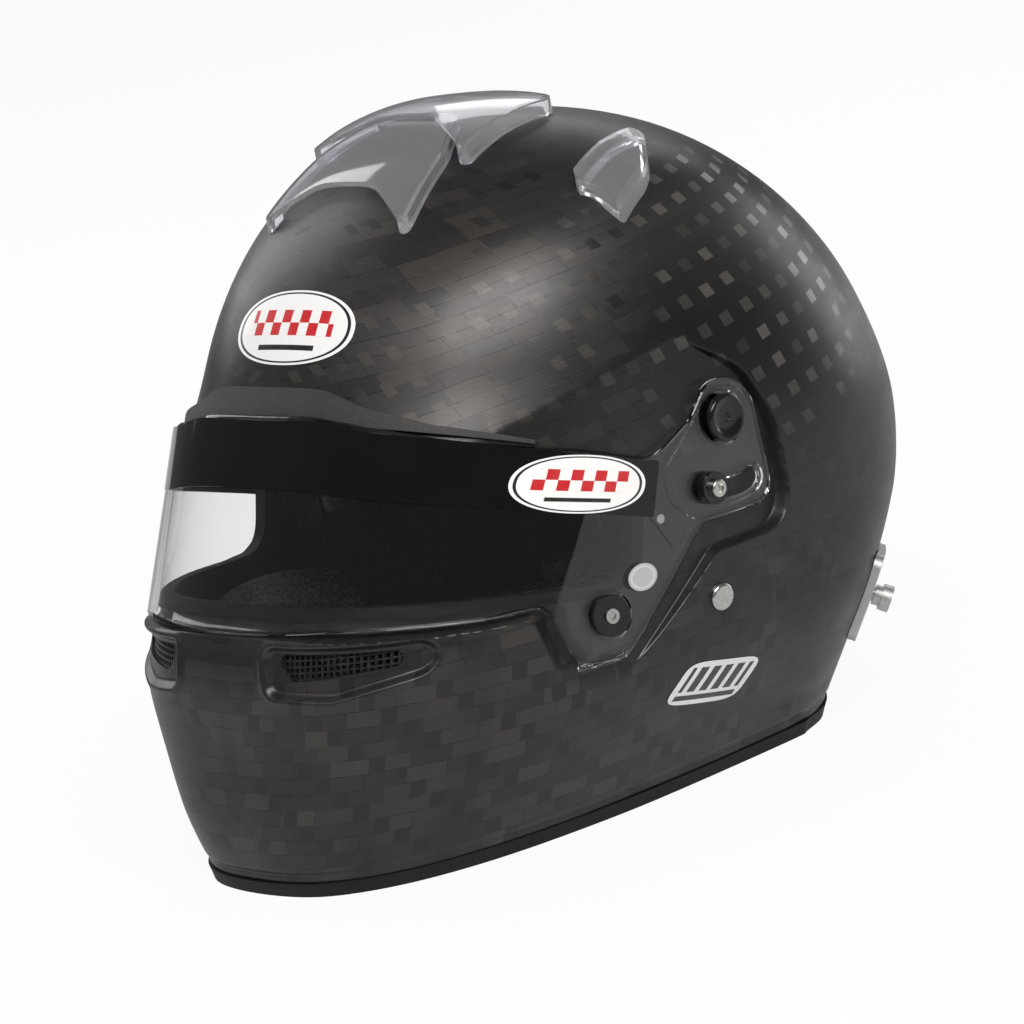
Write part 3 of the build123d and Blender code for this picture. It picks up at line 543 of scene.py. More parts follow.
# %% The visor's surface
visor_wall, recess_gap = 0.003, 0.002
visor_rows = np.array([(0.080, 0.992, 1.205), (0.368, 0.988, 0.963),
                       (0.662, 0.972, 0.721), (0.850, 0.962, 0.566)])
visor_power, visor_centre = 2.5, 0.228 * shell_reach
visor_curve = smooth_curve(visor_rows[:, 0] * shell_height,
                           visor_rows[:, 1:] * [shell_half_width, shell_reach])
print("visor's reach at half height", round(float(visor_curve(shell_height / 2)[1]), 4), "m")


def visor_radius(height, dx, dy, inset):
    """How far the visor's surface lies from its centre line in direction dx, dy:
    one over the root of the two shares raised to the corner power and added."""
    half, ahead = np.moveaxis(visor_curve(height), -1, 0)
    half = half - inset
    reach = np.where(dy > 0, shell_reach - visor_centre, ahead + visor_centre - inset)
    corner = np.where(dy > 0, rear_power, visor_power)
    return (np.abs(dx / half) ** corner + np.abs(dy / reach) ** corner) ** (-1 / corner)


def visor_point(height, y, side, inset=0.0):
    """A point on the visor's surface at a place of the side view: x is the half
    width times the root of one minus the share of the reach."""
    half, ahead = np.moveaxis(visor_curve(height), -1, 0)
    along = y - visor_centre
    reach = np.where(along > 0, shell_reach - visor_centre, ahead + visor_centre - inset)
    corner = np.where(along > 0, rear_power, visor_power)
    share = np.clip(1 - np.abs(along / reach) ** corner, 0, 1)
    x = (half - inset) * share ** (1 / corner)
    return np.stack([side * x, y, height], axis=-1)


# %% [markdown]
# ## Outlines in the side and front views
# The recess, the eye port and the vents are outlines with rounded corners. One
# helper rounds a polygon's corners, and another gives the signed distance from
# any points to the outline, negative inside. With that distance a flat picture
# can be pressed into a curved wall, softly or sharply.

# %% Outline helpers
sharp_radius, straight_turn, arc_points = 1e-6, 0.02, 9


def corner_arc(spot, last_spot, next_spot, radius, count):
    """The arc that rounds a corner: each leg is cut back by the radius times the
    tangent of half the turn, and the arc joins the two cuts about their hub."""
    before, after = last_spot - spot, next_spot - spot
    before, after = before / np.hypot(*before), after / np.hypot(*after)
    turn = math.pi - math.acos(np.clip(before @ after, -1, 1))
    if radius < sharp_radius or turn < straight_turn:
        return spot[None]
    cut = radius * math.tan(turn / 2)
    middle = (before + after) / np.hypot(*(before + after))
    hub = spot + middle * radius / math.cos(turn / 2)
    first, last = spot + before * cut - hub, spot + after * cut - hub
    blend = np.linspace(0, 1, count)[:, None]
    return hub + (np.sin((1 - blend) * turn) * first + np.sin(blend * turn) * last) / math.sin(turn)


def rounded(corners, scale_a, scale_b):
    """A closed outline as points, from corners with a radius each."""
    raw = np.array(corners, float)
    spots = raw[:, :2] * [scale_a, scale_b]
    radii = raw[:, 2] * shell_height
    following = np.roll(spots, -1, axis=0)
    return np.vstack([corner_arc(spot, spots[i - 1], following[i], radii[i], arc_points)
                      for i, spot in enumerate(spots)])


def outline_distance(outline, a, b):
    """Signed distance from points to a closed outline, negative inside: the
    nearest of all its edges, and the sign from how often a ray crosses it."""
    points = np.stack([np.ravel(a), np.ravel(b)], axis=1)
    best = np.full(len(points), 9.0)
    inside = np.zeros(len(points), bool)
    for start, end in zip(outline, np.roll(outline, -1, axis=0)):
        run = end - start
        off = points - start
        share = np.clip(off @ run / max(run @ run, 1e-12), 0, 1)
        best = np.minimum(best, np.hypot(*(off - share[:, None] * run).T))
        spans = (start[1] > points[:, 1]) != (end[1] > points[:, 1])
        cross = start[0] + (points[:, 1] - start[1]) * run[0] / (run[1] if run[1] else 1e-12)
        inside ^= spans & (points[:, 0] < cross)
    return np.where(inside, -best, best).reshape(np.shape(a))


recess_corners = [
    (-1.200, 0.669, 0.000), (-0.708, 0.669, 0.011), (-0.675, 0.649, 0.044),
    (-0.491, 0.604, 0.004), (-0.491, 0.757, 0.000), (-0.129, 0.757, 0.000),
    (-0.082, 0.691, 0.029), (0.120, 0.597, 0.080), (0.175, 0.518, 0.090),
    (0.181, 0.412, 0.040), (0.146, 0.369, 0.040), (-0.058, 0.369, 0.044),
    (-0.374, 0.222, 0.022), (-0.491, 0.222, 0.033), (-0.541, 0.358, 0.022),
    (-0.655, 0.361, 0.110), (-0.877, 0.3775, 0.090), (-0.953, 0.3905, 0.029),
    (-1.200, 0.3905, 0.000)]
port_corners = [
    (-1.200, 0.612, 0.000), (-0.708, 0.612, 0.011), (-0.667, 0.590, 0.044),
    (-0.222, 0.482, 0.044), (-0.278, 0.361, 0.055), (-0.409, 0.365, 0.070),
    (-0.556, 0.379, 0.110), (-0.830, 0.404, 0.070), (-0.936, 0.414, 0.029),
    (-1.200, 0.414, 0.000)]
vent_corners = [(0.243, 0.358, 0.010), (0.300, 0.318, 0.018), (0.618, 0.327, 0.007),
                (0.618, 0.349, 0.007)]
dish_corners = [(0.215, 0.366, 0.012), (0.225, 0.303, 0.020), (0.440, 0.294, 0.030),
                (0.690, 0.316, 0.022), (0.690, 0.355, 0.020)]
recess_outline = rounded(recess_corners, shell_reach, shell_height)
port_outline = rounded(port_corners, shell_reach, shell_height)
vent_outline = rounded(vent_corners, shell_half_width, shell_height)
dish_outline = rounded(dish_corners, shell_half_width, shell_height)
print("outline points", len(recess_outline), len(port_outline), len(vent_outline))


def smooth_step(share):
    """An even rise from 0 to 1 that starts and ends level."""
    share = np.clip(share, 0, 1)
    return share * share * (3 - 2 * share)


# %% [markdown]
# ## The pressed features
# The wall is moved only inwards: down to the visor's recess, into a shallow
# dish around each chin vent, and into a fine groove above the rubber rim. Two
# faint creases run back over the chin. Each is the distance to a line or an
# outline, passed through a soft step.

# %% Press features into the surface
recess_round, dish_depth, dish_round = 0.0026, 0.0022, 0.0030
lip_rise, lip_round = 0.0011, 0.0021
rim_groove_height, rim_groove_width, rim_groove_depth = 0.0088, 0.0012, 0.0008
recess_low, recess_high, recess_back, barely_recessed = 0.05, 0.21, 0.06, 0.0002
visor_low, visor_high = 0.02, 0.23


def line_distance(points, start, end):
    """Distance from points to a straight stretch between two places."""
    run = np.array(end) - start
    share = np.clip((points - start) @ run / (run @ run), 0, 1)
    return np.linalg.norm(points - start - share[..., None] * run, axis=-1)


crease_lines = [((0.054, -0.156, 0.032), (0.071, -0.144, 0.050), 0.0012),
                ((0.071, -0.144, 0.050), (0.084, -0.1285, 0.054), 0.0010),
                ((0.120, 0.056, 0.070), (0.102, 0.099, 0.068), 0.0008),
                ((0.096, 0.035, 0.0215), (0.089, 0.068, 0.0186), 0.0008)]
crease_width = 0.0035


def pressed(points):
    """The surface with its features: every point moves towards the centre line
    by the deepest of the recess, the dish, the groove and the creases."""
    x, y, z = np.moveaxis(points, -1, 0)
    side = np.abs(x)
    radius = np.hypot(x, y - visor_centre)
    dx, dy = x / np.maximum(radius, 1e-6), (y - visor_centre) / np.maximum(radius, 1e-6)
    floor = visor_radius(np.clip(z, visor_low, visor_high), dx, dy, visor_wall + recess_gap)
    into = smooth_step(1 - outline_distance(recess_outline, y, z) / recess_round)
    near_visor = (z > recess_low) & (z < recess_high) & (y < recess_back)
    recess = into * np.clip(radius - floor, 0, None) * near_visor
    edge = outline_distance(dish_outline, side, z)
    dish = smooth_step(0.5 - edge / dish_round) * dish_depth * (y < 0)
    lip = lip_rise * np.exp(-((edge - lip_round) / lip_round) ** 2) * (y < 0)
    groove = rim_groove_depth * np.exp(-((z - rim_groove_height) / rim_groove_width) ** 2)
    folded = np.stack([side, y, z], axis=-1)
    crease = sum(depth * np.exp(-(line_distance(folded, start, end) / crease_width) ** 2)
                 for start, end, depth in crease_lines)
    inward = np.maximum(recess, dish) + groove + crease - lip * (recess < barely_recessed)
    return np.stack([x - dx * inward, y - dy * inward, z], axis=-1), recess


# %% [markdown]
# ## From a grid to a mesh
# The surface is sampled on a grid of stations and angles. Even steps would
# waste points on the plain back of the dome, so the steps are short where the
# features lie and long elsewhere. Grid points near a hole's edge slide along
# the grid onto that edge, which keeps the hole's rim clean.

# %% Grid helpers
def spaced(length_at, step_at, start, end):
    """Places from start to end whose steps follow a wanted size: equal shares of
    the length divided by that size."""
    fine = np.linspace(start, end, 6000)
    middle = (fine[1:] + fine[:-1]) / 2
    effort = np.concatenate([[0], np.cumsum(length_at(fine) / step_at(middle))])
    count = int(round(effort[-1]))
    return np.interp(np.linspace(0, effort[-1], count + 1), effort, fine)


def grid_faces(row_count, column_count, wrap):
    """Four corners of each cell, going round first and up second, so that the
    faces look outwards."""
    columns = column_count if wrap else column_count - 1
    i, j = np.meshgrid(np.arange(row_count - 1), np.arange(columns), indexing="ij")
    k = (j + 1) % column_count
    return np.stack([(row * column_count + column).ravel()
                     for row, column in ((i, j), (i, k), (i + 1, k), (i + 1, j))], axis=1)


def pole_fan(row, pole):
    """Triangles from a closed row of points to one pole."""
    return np.stack([row, np.roll(row, -1), np.full(len(row), pole)], axis=1)


def snap(station, angle, field):
    """Slide grid points along the grid onto the zero line of a field: where a
    field changes sign between neighbours, the nearer one moves to the crossing."""
    nearest = np.full(field.shape, 0.5)
    new_station, new_angle = station.copy(), angle.copy()
    for axis, shift in ((0, 1), (0, -1), (1, 1), (1, -1)):
        other = np.roll(field, shift, axis)
        crossing = (field > 0) != (other > 0)
        if axis == 0:
            crossing[0 if shift == 1 else -1] = False
        share = np.where(crossing, np.abs(field) / (np.abs(field) + np.abs(other) + 1e-12), 1)
        use = share <= nearest
        turn = np.roll(angle, shift, axis) - angle
        turn = (turn + math.pi) % (2 * math.pi) - math.pi
        climb_by = np.roll(station, shift, axis) - station
        new_angle = np.where(use, angle + share * turn, new_angle)
        new_station = np.where(use, station + share * climb_by, new_station)
        nearest = np.where(use, share, nearest)
    return new_station, new_angle, nearest < 0.5


def open_edges(polygons, count):
    """The directed edges that only one face has: those whose reverse is missing."""
    sizes = np.array([len(p) for p in polygons])
    here = np.concatenate(polygons).astype(np.int64)
    starts = np.cumsum(sizes) - sizes
    following = np.roll(here, -1)
    following[starts + sizes - 1] = here[starts]
    lone = ~np.isin(here * count + following, following * count + here)
    return np.stack([here[lone], following[lone]], axis=1)


def read_out(items, key, width=1, kind=np.int32):
    """One property of many items as an array, with a width of numbers for each."""
    out = np.zeros(len(items) * width, kind)
    items.foreach_get(key, out)
    return out.reshape(-1, width) if width > 1 else out


def finish_mesh(mesh, uv, sharp_angle):
    """Smooth shading but for edges that turn sharper than an angle, and an
    optional UV place for each point."""
    if uv is not None:
        layer = mesh.uv_layers.new(name="laid")
        corner = read_out(mesh.loops, "vertex_index")
        layer.data.foreach_set("uv", np.asarray(uv, np.float32).reshape(-1, 2)[corner].ravel())
    mesh.polygons.foreach_set("use_smooth", np.ones(len(mesh.polygons), bool))
    mesh.set_sharp_from_angle(angle=math.radians(sharp_angle))
    mesh.validate()
    mesh.update()


def make_mesh(name, points, faces, uv=None, sharp_angle=38):
    """A mesh from arrays of points and faces."""
    mesh = bpy.data.meshes.new(name)
    mesh.from_pydata(np.asarray(points).reshape(-1, 3), [], [list(map(int, f)) for f in faces])
    finish_mesh(mesh, uv, sharp_angle)
    return mesh


def add_piece(name, mesh, material, body, stands_for=()):
    """Put a mesh in the scene as a piece: its material, the body that it moves
    with and the CAD nodes that it stands for."""
    piece = new_object(name, mesh)
    mesh.materials.append(material)
    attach(piece, body)
    if stands_for:
        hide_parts(*stands_for)
    print(name, "faces", len(mesh.polygons))
    return piece


# %% [markdown]
# ## The carbon shell
# Cells on the front and sides are under two millimetres, and the back has seven.
# The rows are closest between the chin vents and the visor's top. The eye port
# and the vents are left out of the mesh, and the edges that this leaves are
# folded inwards later.

# %% Lay out the grid
front_step, back_step, front_limit, limit_blend = 0.0017, 0.007, 0.050, 0.05
belt_height, first_station, pole_gap = 0.12, 0.0005, 0.0007
step_heights = [0, 0.005, 0.006, 0.012, 0.014, 0.054, 0.062, 0.186, 0.198, 0.272]
step_sizes = [0.003, 0.003, 0.0008, 0.0008, 0.0026, 0.0026, 0.0014, 0.0014, 0.006, 0.006]
low_stations = np.linspace(0, 0.2, 400)
belt_station = np.interp(belt_height, shell_curve(low_stations)[:, 0], low_stations)


def belt_length(angles):
    """Lengths between places around the belt."""
    line = shell_point(np.full(len(angles), belt_station), angles)
    return np.linalg.norm(np.diff(line, axis=0), axis=1)


def belt_step(angles):
    """The wanted step around the belt: short ahead of a limit, long behind it."""
    y = shell_point(np.full(len(angles), belt_station), angles)[:, 1]
    return front_step + (back_step - front_step) * smooth_step((y - front_limit) / limit_blend)


def wall_step(stations):
    """The wanted step on the way up, by height over the rim."""
    return np.interp(shell_curve(stations)[:, 0], step_heights, step_sizes)


left_angles = spaced(belt_length, belt_step, -math.pi / 2, math.pi / 2)
angles = np.concatenate([left_angles, math.pi - left_angles[-2:0:-1]])
stations = spaced(np.diff, wall_step, first_station, crown_station - pole_gap)
station_grid, angle_grid = np.meshgrid(stations, angles, indexing="ij")
print("grid", station_grid.shape)


# %% Snap, press and cut
def cut_field(points):
    """Distance to the nearest hole, negative inside it: the eye port and vents."""
    x, y, z = np.moveaxis(points, -1, 0)
    port = outline_distance(port_outline, y, z)
    vent = np.where(y < 0, outline_distance(vent_outline, np.abs(x), z), 1.0)
    return np.minimum(port, vent)


edge_play = 2e-5
cut = cut_field(shell_point(station_grid, angle_grid))
station_grid, angle_grid, on_edge = snap(station_grid, angle_grid, cut)
flat = shell_point(station_grid, angle_grid)
shell_points = pressed(flat)[0]
hole = np.where(on_edge, 0.0, cut_field(flat))
hole = np.where(np.abs(hole) < edge_play, 0.0, hole).ravel()
print("grid points moved onto an edge", int(on_edge.sum()))

# %% [markdown]
# The carbon is laid outwards from each side, so its places are measured along
# the wall from the left and right ends of the belt, and both halves match.

# %% Places along the wall
steps_round = np.linalg.norm(np.diff(shell_points, axis=1, append=shell_points[:, :1]), axis=2)
laid = np.concatenate([np.zeros((len(stations), 1)), np.cumsum(steps_round, axis=1)[:, :-1]], axis=1)
left_column, right_column = (np.argmin(np.abs(angles - turn)) for turn in (0, math.pi))
on_left = np.arange(len(angles)) < len(left_angles)
along_wall = np.where(on_left, laid - laid[:, [left_column]], laid[:, [right_column]] - laid)
shell_uv = np.stack([along_wall, station_grid], axis=-1)
print("wall from side to front", round(-float(along_wall[:, 0].min()), 3), "m")

# %% Leave the holes out and close the crown
quads = grid_faces(len(stations), len(angles), True)
kept = hole[quads] >= 0
whole = quads[kept.all(axis=1)]
corners = quads[kept.sum(axis=1) == 3]
three = [face[hole[face] >= 0] for face in corners]
pole = len(stations) * len(angles)
fan = pole_fan(np.arange(pole - len(angles), pole), pole)
all_points = np.vstack([shell_points.reshape(-1, 3), [[0, crown_y, shell_height]]])
all_uv = np.vstack([shell_uv.reshape(-1, 2), [[0, crown_station]]])
faces = list(whole) + three + list(fan)
used = np.zeros(len(all_points), bool)
used[np.concatenate([np.ravel(f) for f in (whole, fan)] + [np.ravel(f) for f in three])] = True
renumber = np.cumsum(used) - 1
faces = [renumber[f] for f in faces]
print("shell cells", len(faces))


# %% [markdown]
# The recess wall drops several millimetres within three, so cells of the grid's
# size would show as steps there. The cells along that wall are split again, and
# each new point takes its station and angle from its neighbours, so it is laid
# on the same formula as the rest. The lips of the chin vents are split too.

# %% Finer cells along the recess
def split_near(points, faces, carried, chosen, cuts):
    """Faces and carried numbers after the chosen cells are split: the numbers are
    kept for each point and worked out for the new ones."""
    mesh = bpy.data.meshes.new("shell_skin")
    mesh.from_pydata(points, [], [list(map(int, f)) for f in faces])
    for key, values in carried.items():
        mesh.attributes.new(key, "FLOAT", "POINT").data.foreach_set("value", values)
    picked = chosen[read_out(mesh.edges, "vertices", 2)].all(axis=1)
    mesh.attributes.new("picked", "FLOAT", "EDGE").data.foreach_set("value", picked.astype(np.float32))
    rough = bmesh.new()
    rough.from_mesh(mesh)
    mark = rough.edges.layers.float["picked"]
    bmesh.ops.subdivide_edges(rough, edges=[e for e in rough.edges if e[mark] > 0.5],
                              cuts=cuts, use_grid_fill=True)
    rough.to_mesh(mesh)
    rough.free()
    grown = {key: read_out(mesh.attributes[key].data, "value", kind=np.float32).astype(float)
             for key in carried}
    corner, first = read_out(mesh.loops, "vertex_index"), read_out(mesh.polygons, "loop_start")
    bpy.data.meshes.remove(mesh)
    return np.split(corner, first[1:]), grown


recess_margin, recess_floor = (-0.0024, 0.0020), 0.055
dish_offset, dish_margin = 0.0012, 0.0040
x, y, z = all_points.T
lip = outline_distance(recess_outline, y, z)
beside = (lip > recess_margin[0]) & (lip < recess_round + recess_margin[1])
beside &= (z > recess_floor) & (y < recess_back)
dish_edge = outline_distance(dish_outline, np.abs(x), z)
beside |= (np.abs(dish_edge - dish_offset) < dish_margin) & (y < 0)
shell_places = {
    "station": np.append(station_grid.ravel(), crown_station), "across": np.append(all_uv[:-1, 0], 0),
    "cosine": np.append(np.cos(angle_grid).ravel(), 1), "sine": np.append(np.sin(angle_grid).ravel(), 0)}
polygons, spots = split_near(all_points[used], faces, {k: v[used] for k, v in shell_places.items()},
                             beside[used], 2)
skin, recess_depth = pressed(shell_point(spots["station"], np.arctan2(spots["sine"], spots["cosine"])))
print("shell cells after splitting", len(polygons),
      "deepest recess", round(recess_depth.max() * 1000, 2), "mm")


# %% [markdown]
# The wall is nearly 3 mm thick. A Solidify modifier could double the whole skin,
# but that would double its faces too, and the inner side is hardly seen. So the
# skin's open edges are folded inwards by the wall's thickness, and a coarser
# sheet, every second row and column of the grid, lines the inside.

# %% Fold the edges and line the inside
def sunk(points, depth):
    """Points moved level towards the middle of the helmet by a depth."""
    away = points - [0, visor_centre, 0]
    away[:, 2] = 0
    return points - depth * away / np.maximum(np.linalg.norm(away, axis=1, keepdims=True), 1e-6)


wall_depth, crown_bulge, coarse_play = 0.0027, 1.2, 1e-4
rim_edges = open_edges(polygons, len(skin))
rim_points, rim_index = np.unique(rim_edges, return_inverse=True)
folded = rim_index.reshape(-1, 2) + len(skin)
walls = np.column_stack([rim_edges[:, 1], rim_edges[:, 0], folded[:, 0], folded[:, 1]])
skin_uv = np.stack([spots["across"], spots["station"]], axis=-1)
shell_mesh = make_mesh("shell_skin", np.vstack([skin, sunk(skin[rim_points], wall_depth)]),
                       polygons + list(walls), np.vstack([skin_uv, skin_uv[rim_points]]))
add_piece("carbon_shell", shell_mesh, carbon, "helmet", ["shell_outer"])

coarse = shell_points[::2, ::2]
coarse_hole = hole.reshape(shell_points.shape[:2])[::2, ::2].ravel()
coarse_faces = grid_faces(*coarse.shape[:2], True)
coarse_faces = coarse_faces[(coarse_hole[coarse_faces] > -coarse_play).all(axis=1)]
coarse_pole = len(coarse_hole)
coarse_fan = pole_fan(np.arange(coarse_pole - coarse.shape[1], coarse_pole), coarse_pole)
inner = sunk(np.vstack([coarse.reshape(-1, 3), [[0, crown_y, shell_height]]]), wall_depth)
below_crown = shell_height - wall_depth - crown_bulge * np.hypot(inner[:, 0], inner[:, 1]) ** 2
inner[:, 2] = np.minimum(inner[:, 2], below_crown)
inward_faces = [face[::-1] for face in (*coarse_faces, *coarse_fan)]
add_piece("shell_lining", make_mesh("shell_lining_mesh", inner, inward_faces),
          laminate, "helmet", ["shell_outer"])

# %% [markdown]
# ## Plates on a curved surface
# The visor and the stickers are cut from flat stock and lie on a curved surface.
# So each is drawn flat first: an outline, its holes and a scatter of points
# between them are joined into triangles that keep every drawn edge. A second
# loop just inside each edge gives the chamfer that catches the light. The flat
# triangles are then laid on the surface twice, once for each face.

# %% Plate tool
same_point = 1e-7
plate_sharp_angle = 30


def inner_loop(loop, width):
    """A loop moved to its left by a width: each point goes along the normal of
    the chord between its two neighbours."""
    chord = np.roll(loop, -1, axis=0) - np.roll(loop, 1, axis=0)
    normal = np.stack([-chord[:, 1], chord[:, 0]], axis=1)
    return loop + width * normal / np.linalg.norm(normal, axis=1, keepdims=True)


def even_loop(loop, step):
    """The same closed loop with points at even distances, anticlockwise."""
    closed = np.vstack([loop, loop[:1]])
    run = np.concatenate([[0], np.cumsum(np.hypot(*np.diff(closed, axis=0).T))])
    places = np.linspace(0, run[-1], max(12, int(run[-1] / step)) + 1)[:-1]
    out = np.stack([np.interp(places, run, closed[:, k]) for k in (0, 1)], axis=1)
    area = np.sum(out[:, 0] * np.roll(out[:, 1], -1) - np.roll(out[:, 0], -1) * out[:, 1])
    return out if area > 0 else out[::-1]


def scatter(loops, folds, chamfer, step):
    """A net of points inside the first loop, clear of every edge and fold."""
    low, high = loops[0].min(axis=0), loops[0].max(axis=0)
    grid = np.stack(np.meshgrid(np.arange(low[0], high[0], step), np.arange(low[1], high[1], step)),
                    axis=-1).reshape(-1, 2)
    a, b = grid.T
    edge_room, fold_room = chamfer + step * 0.4, step * 0.35
    room = outline_distance(loops[0], a, b) < -edge_room
    for hole in loops[1:]:
        room &= outline_distance(hole, a, b) > edge_room
    for fold in folds:
        room &= np.abs(outline_distance(fold, a, b)) > fold_room
    return grid[room]


def plate(name, outline, holes, lay_on, thickness, chamfer, edge_step, fill_step, folds=()):
    """A plate as a mesh. lay_on(a, b, depth) says where a flat point lies. The
    outline's own loop sits one chamfer below each face, and its inner loop and
    all other points lie on the faces. Folds are more loops that stay edges."""
    loops = [even_loop(outline, edge_step)] + [even_loop(hole, edge_step / 2)[::-1] for hole in holes]
    inner = [inner_loop(loop, chamfer) for loop in loops] + list(folds)
    flat = np.vstack(loops + inner + [scatter(loops, folds, chamfer, fill_step)])
    edges, start = [], 0
    for loop in loops + inner:
        ring = np.arange(start, start + len(loop))
        edges.append(np.stack([ring, np.roll(ring, -1)], axis=1))
        start += len(loop)
    edge_count = sum(map(len, loops))
    found = delaunay_2d_cdt([Vector(p) for p in flat], np.vstack(edges).tolist(), [], 0, same_point)
    flat = np.array([tuple(v) for v in found[0]])
    first = np.array([ids[0] if ids else -1 for ids in found[3]])
    on_edge = (first >= 0) & (first < edge_count)
    triangles = np.array(found[2])
    middle = flat[triangles].mean(axis=1)
    keep = outline_distance(loops[0], middle[:, 0], middle[:, 1]) < 0
    for hole in loops[1:]:
        keep &= outline_distance(hole, middle[:, 0], middle[:, 1]) > 0
    triangles = triangles[keep]
    one, two, three = (flat[triangles[:, k]] for k in range(3))
    turn = (two - one)[:, 0] * (three - one)[:, 1] - (two - one)[:, 1] * (three - one)[:, 0]
    triangles[turn < 0] = triangles[turn < 0][:, ::-1]
    top = lay_on(flat[:, 0], flat[:, 1], np.where(on_edge, chamfer, 0.0))
    base = lay_on(flat[:, 0], flat[:, 1], thickness - np.where(on_edge, chamfer, 0.0))
    count = len(flat)
    rim = open_edges(list(triangles), count)
    walls = np.stack([rim[:, 1], rim[:, 0], rim[:, 0] + count, rim[:, 1] + count], axis=1)
    faces = list(triangles) + list(triangles[:, ::-1] + count) + list(walls)
    return make_mesh(name, np.vstack([top, base]), faces, np.vstack([flat, flat]), plate_sharp_angle)


def full_turn(count):
    """Cosines and sines at even steps round a circle."""
    turn = np.linspace(0, 2 * math.pi, count, endpoint=False)
    return np.cos(turn), np.sin(turn)


def circle(y, z, radius):
    """A closed round loop."""
    c, s = full_turn(64)
    return np.stack([y + radius * c, z + radius * s], axis=1)


# %% [markdown]
# ## The visor
# The visor is 3 mm polycarbonate, bent round the face. Flat, it is one long
# sheet with a lobe at each end. The flat places are the turn about the visor's
# centre line times a radius, and the height. The side outline is carried to
# these places and mirrored for the other end.

# %% The visor's flat pattern
flat_radius = shell_half_width
visor_corners = [
    (-0.713, 0.664, 0.011), (-0.681, 0.643, 0.050), (-0.351, 0.561, 0.220),
    (-0.175, 0.518, 0.059), (-0.058, 0.555, 0.050), (0.009, 0.599, 0.037),
    (0.143, 0.599, 0.066), (0.149, 0.403, 0.033), (-0.082, 0.406, 0.029),
    (-0.351, 0.261, 0.015), (-0.474, 0.261, 0.033), (-0.520, 0.364, 0.026),
    (-0.655, 0.366, 0.110), (-0.877, 0.382, 0.090), (-0.953, 0.395, 0.029)]
front_corners = [(-1.2, 0.395, 0), (-1.2, 0.664, 0)]


def unrolled(side_points):
    """Flat places of side-view places on the wearer's left."""
    solid = visor_point(side_points[:, 1], side_points[:, 0], 1.0)
    turn = np.arctan2(solid[:, 0], visor_centre - solid[:, 1])
    return np.stack([turn * flat_radius, side_points[:, 1]], axis=1)


def both_ways(side_outline, front_y):
    """The flat loop of a side outline on both sides, straight across the front."""
    kept = side_outline[side_outline[:, 0] > front_y]
    start = np.argmax(np.hypot(*(kept - np.roll(kept, 1, axis=0)).T))
    half = unrolled(np.roll(kept, -start, axis=0))
    return np.vstack([half, (half * [-1, 1])[::-1]])


def on_visor(a, b, depth):
    """A flat place on the visor's surface, at a depth under its outer face: the
    flat length over the flat radius is the turn about the visor's centre line."""
    dx, dy = np.sin(a / flat_radius), -np.cos(a / flat_radius)
    radius = visor_radius(b, dx, dy, depth)
    return np.stack([radius * dx, visor_centre + radius * dy, b + 0 * a], axis=-1)


# %% Holes of the visor
pivot_y, pivot_z = 0.039 * shell_reach, 0.543 * shell_height
stud_y, stud_z = -0.374 * shell_reach, 0.324 * shell_height
pivot_hole, stud_hole, front_limit_y = 0.00605, 0.0071, -0.94 * shell_reach
guide_radius, guide_turn, visor_travel = 0.028, math.radians(28), math.radians(47)
slot_half = 0.0036
slot_start = -math.pi / 2 - guide_turn
sweep = np.linspace(slot_start, slot_start + visor_travel, 24)


def around_pivot(radius, turn):
    """A side-view place at a radius and turn about the pivot."""
    return np.stack([pivot_y + radius * np.cos(turn), pivot_z + radius * np.sin(turn)], axis=-1)


def slot_outline(half, cap_count):
    """The guide slot's outline at a half width: two arcs about the pivot, and a
    round cap on each end."""
    cap = np.linspace(0, math.pi, cap_count)[1:-1]
    caps = [around_pivot(guide_radius, end)
            + half * np.stack([np.cos(first + cap), np.sin(first + cap)], axis=1)
            for end, first in ((sweep[-1], sweep[-1]), (sweep[0], sweep[0] + math.pi))]
    return np.vstack([around_pivot(guide_radius + half, sweep), caps[0],
                      around_pivot(guide_radius - half, sweep[::-1]), caps[1]])


visor_side = rounded(visor_corners + front_corners, shell_reach, shell_height)
holes_side = [circle(pivot_y, pivot_z, pivot_hole), circle(stud_y, stud_z, stud_hole),
              slot_outline(slot_half, 10)]
holes = [unrolled(hole) for hole in holes_side]
holes = holes + [hole * [-1, 1] for hole in holes]
visor_loop = both_ways(visor_side, front_limit_y)
print("visor holes", len(holes), "pattern", round(2 * visor_loop[:, 0].max(), 3), "m long")

# %% [markdown]
# The moulding has shallow steps in its outer face: one round the whole hinge
# area, one round the guide slot, and a ring round each round part. Their slopes
# are what shows as bright lines in clear plastic, so each step is two loops of
# real edges, half a millimetre apart, with the face lowered inside them.

# %% Steps in the visor's outer face
hinge_corners = [(0.014, 0.588, 0.030), (0.131, 0.588, 0.052), (0.138, 0.4095, 0.024),
                 (-0.095, 0.4125, 0.030), (-0.160, 0.448, 0.030), (-0.163, 0.494, 0.030)]
pocket_half, pivot_ring, stud_ring = slot_half + 0.0023, 0.0110, 0.0097
step_slope, step_spacing = 0.0005, 0.0009
step_outlines = [(rounded(hinge_corners, shell_reach, shell_height), 0.0005),
                 (slot_outline(pocket_half, 14), 0.0006),
                 (circle(pivot_y, pivot_z, pivot_ring), 0.0007), (circle(stud_y, stud_z, stud_ring), 0.0008)]
steps = [(even_loop(unrolled(outline), step_spacing), depth) for outline, depth in step_outlines]
folds = [loop for outer, _ in steps for loop in (outer, inner_loop(outer, step_slope))]
folds = folds + [(loop * [-1, 1])[::-1] for loop in folds]


def on_moulding(a, b, depth):
    """A flat place on the visor with its steps: the outer face goes down by each
    step's depth inside that step's outline."""
    lowered = sum(fall * np.clip(-outline_distance(loop, np.abs(a), b) / step_slope, 0, 1)
                  for loop, fall in steps)
    return on_visor(a, b, depth + lowered * (depth < visor_wall / 2))


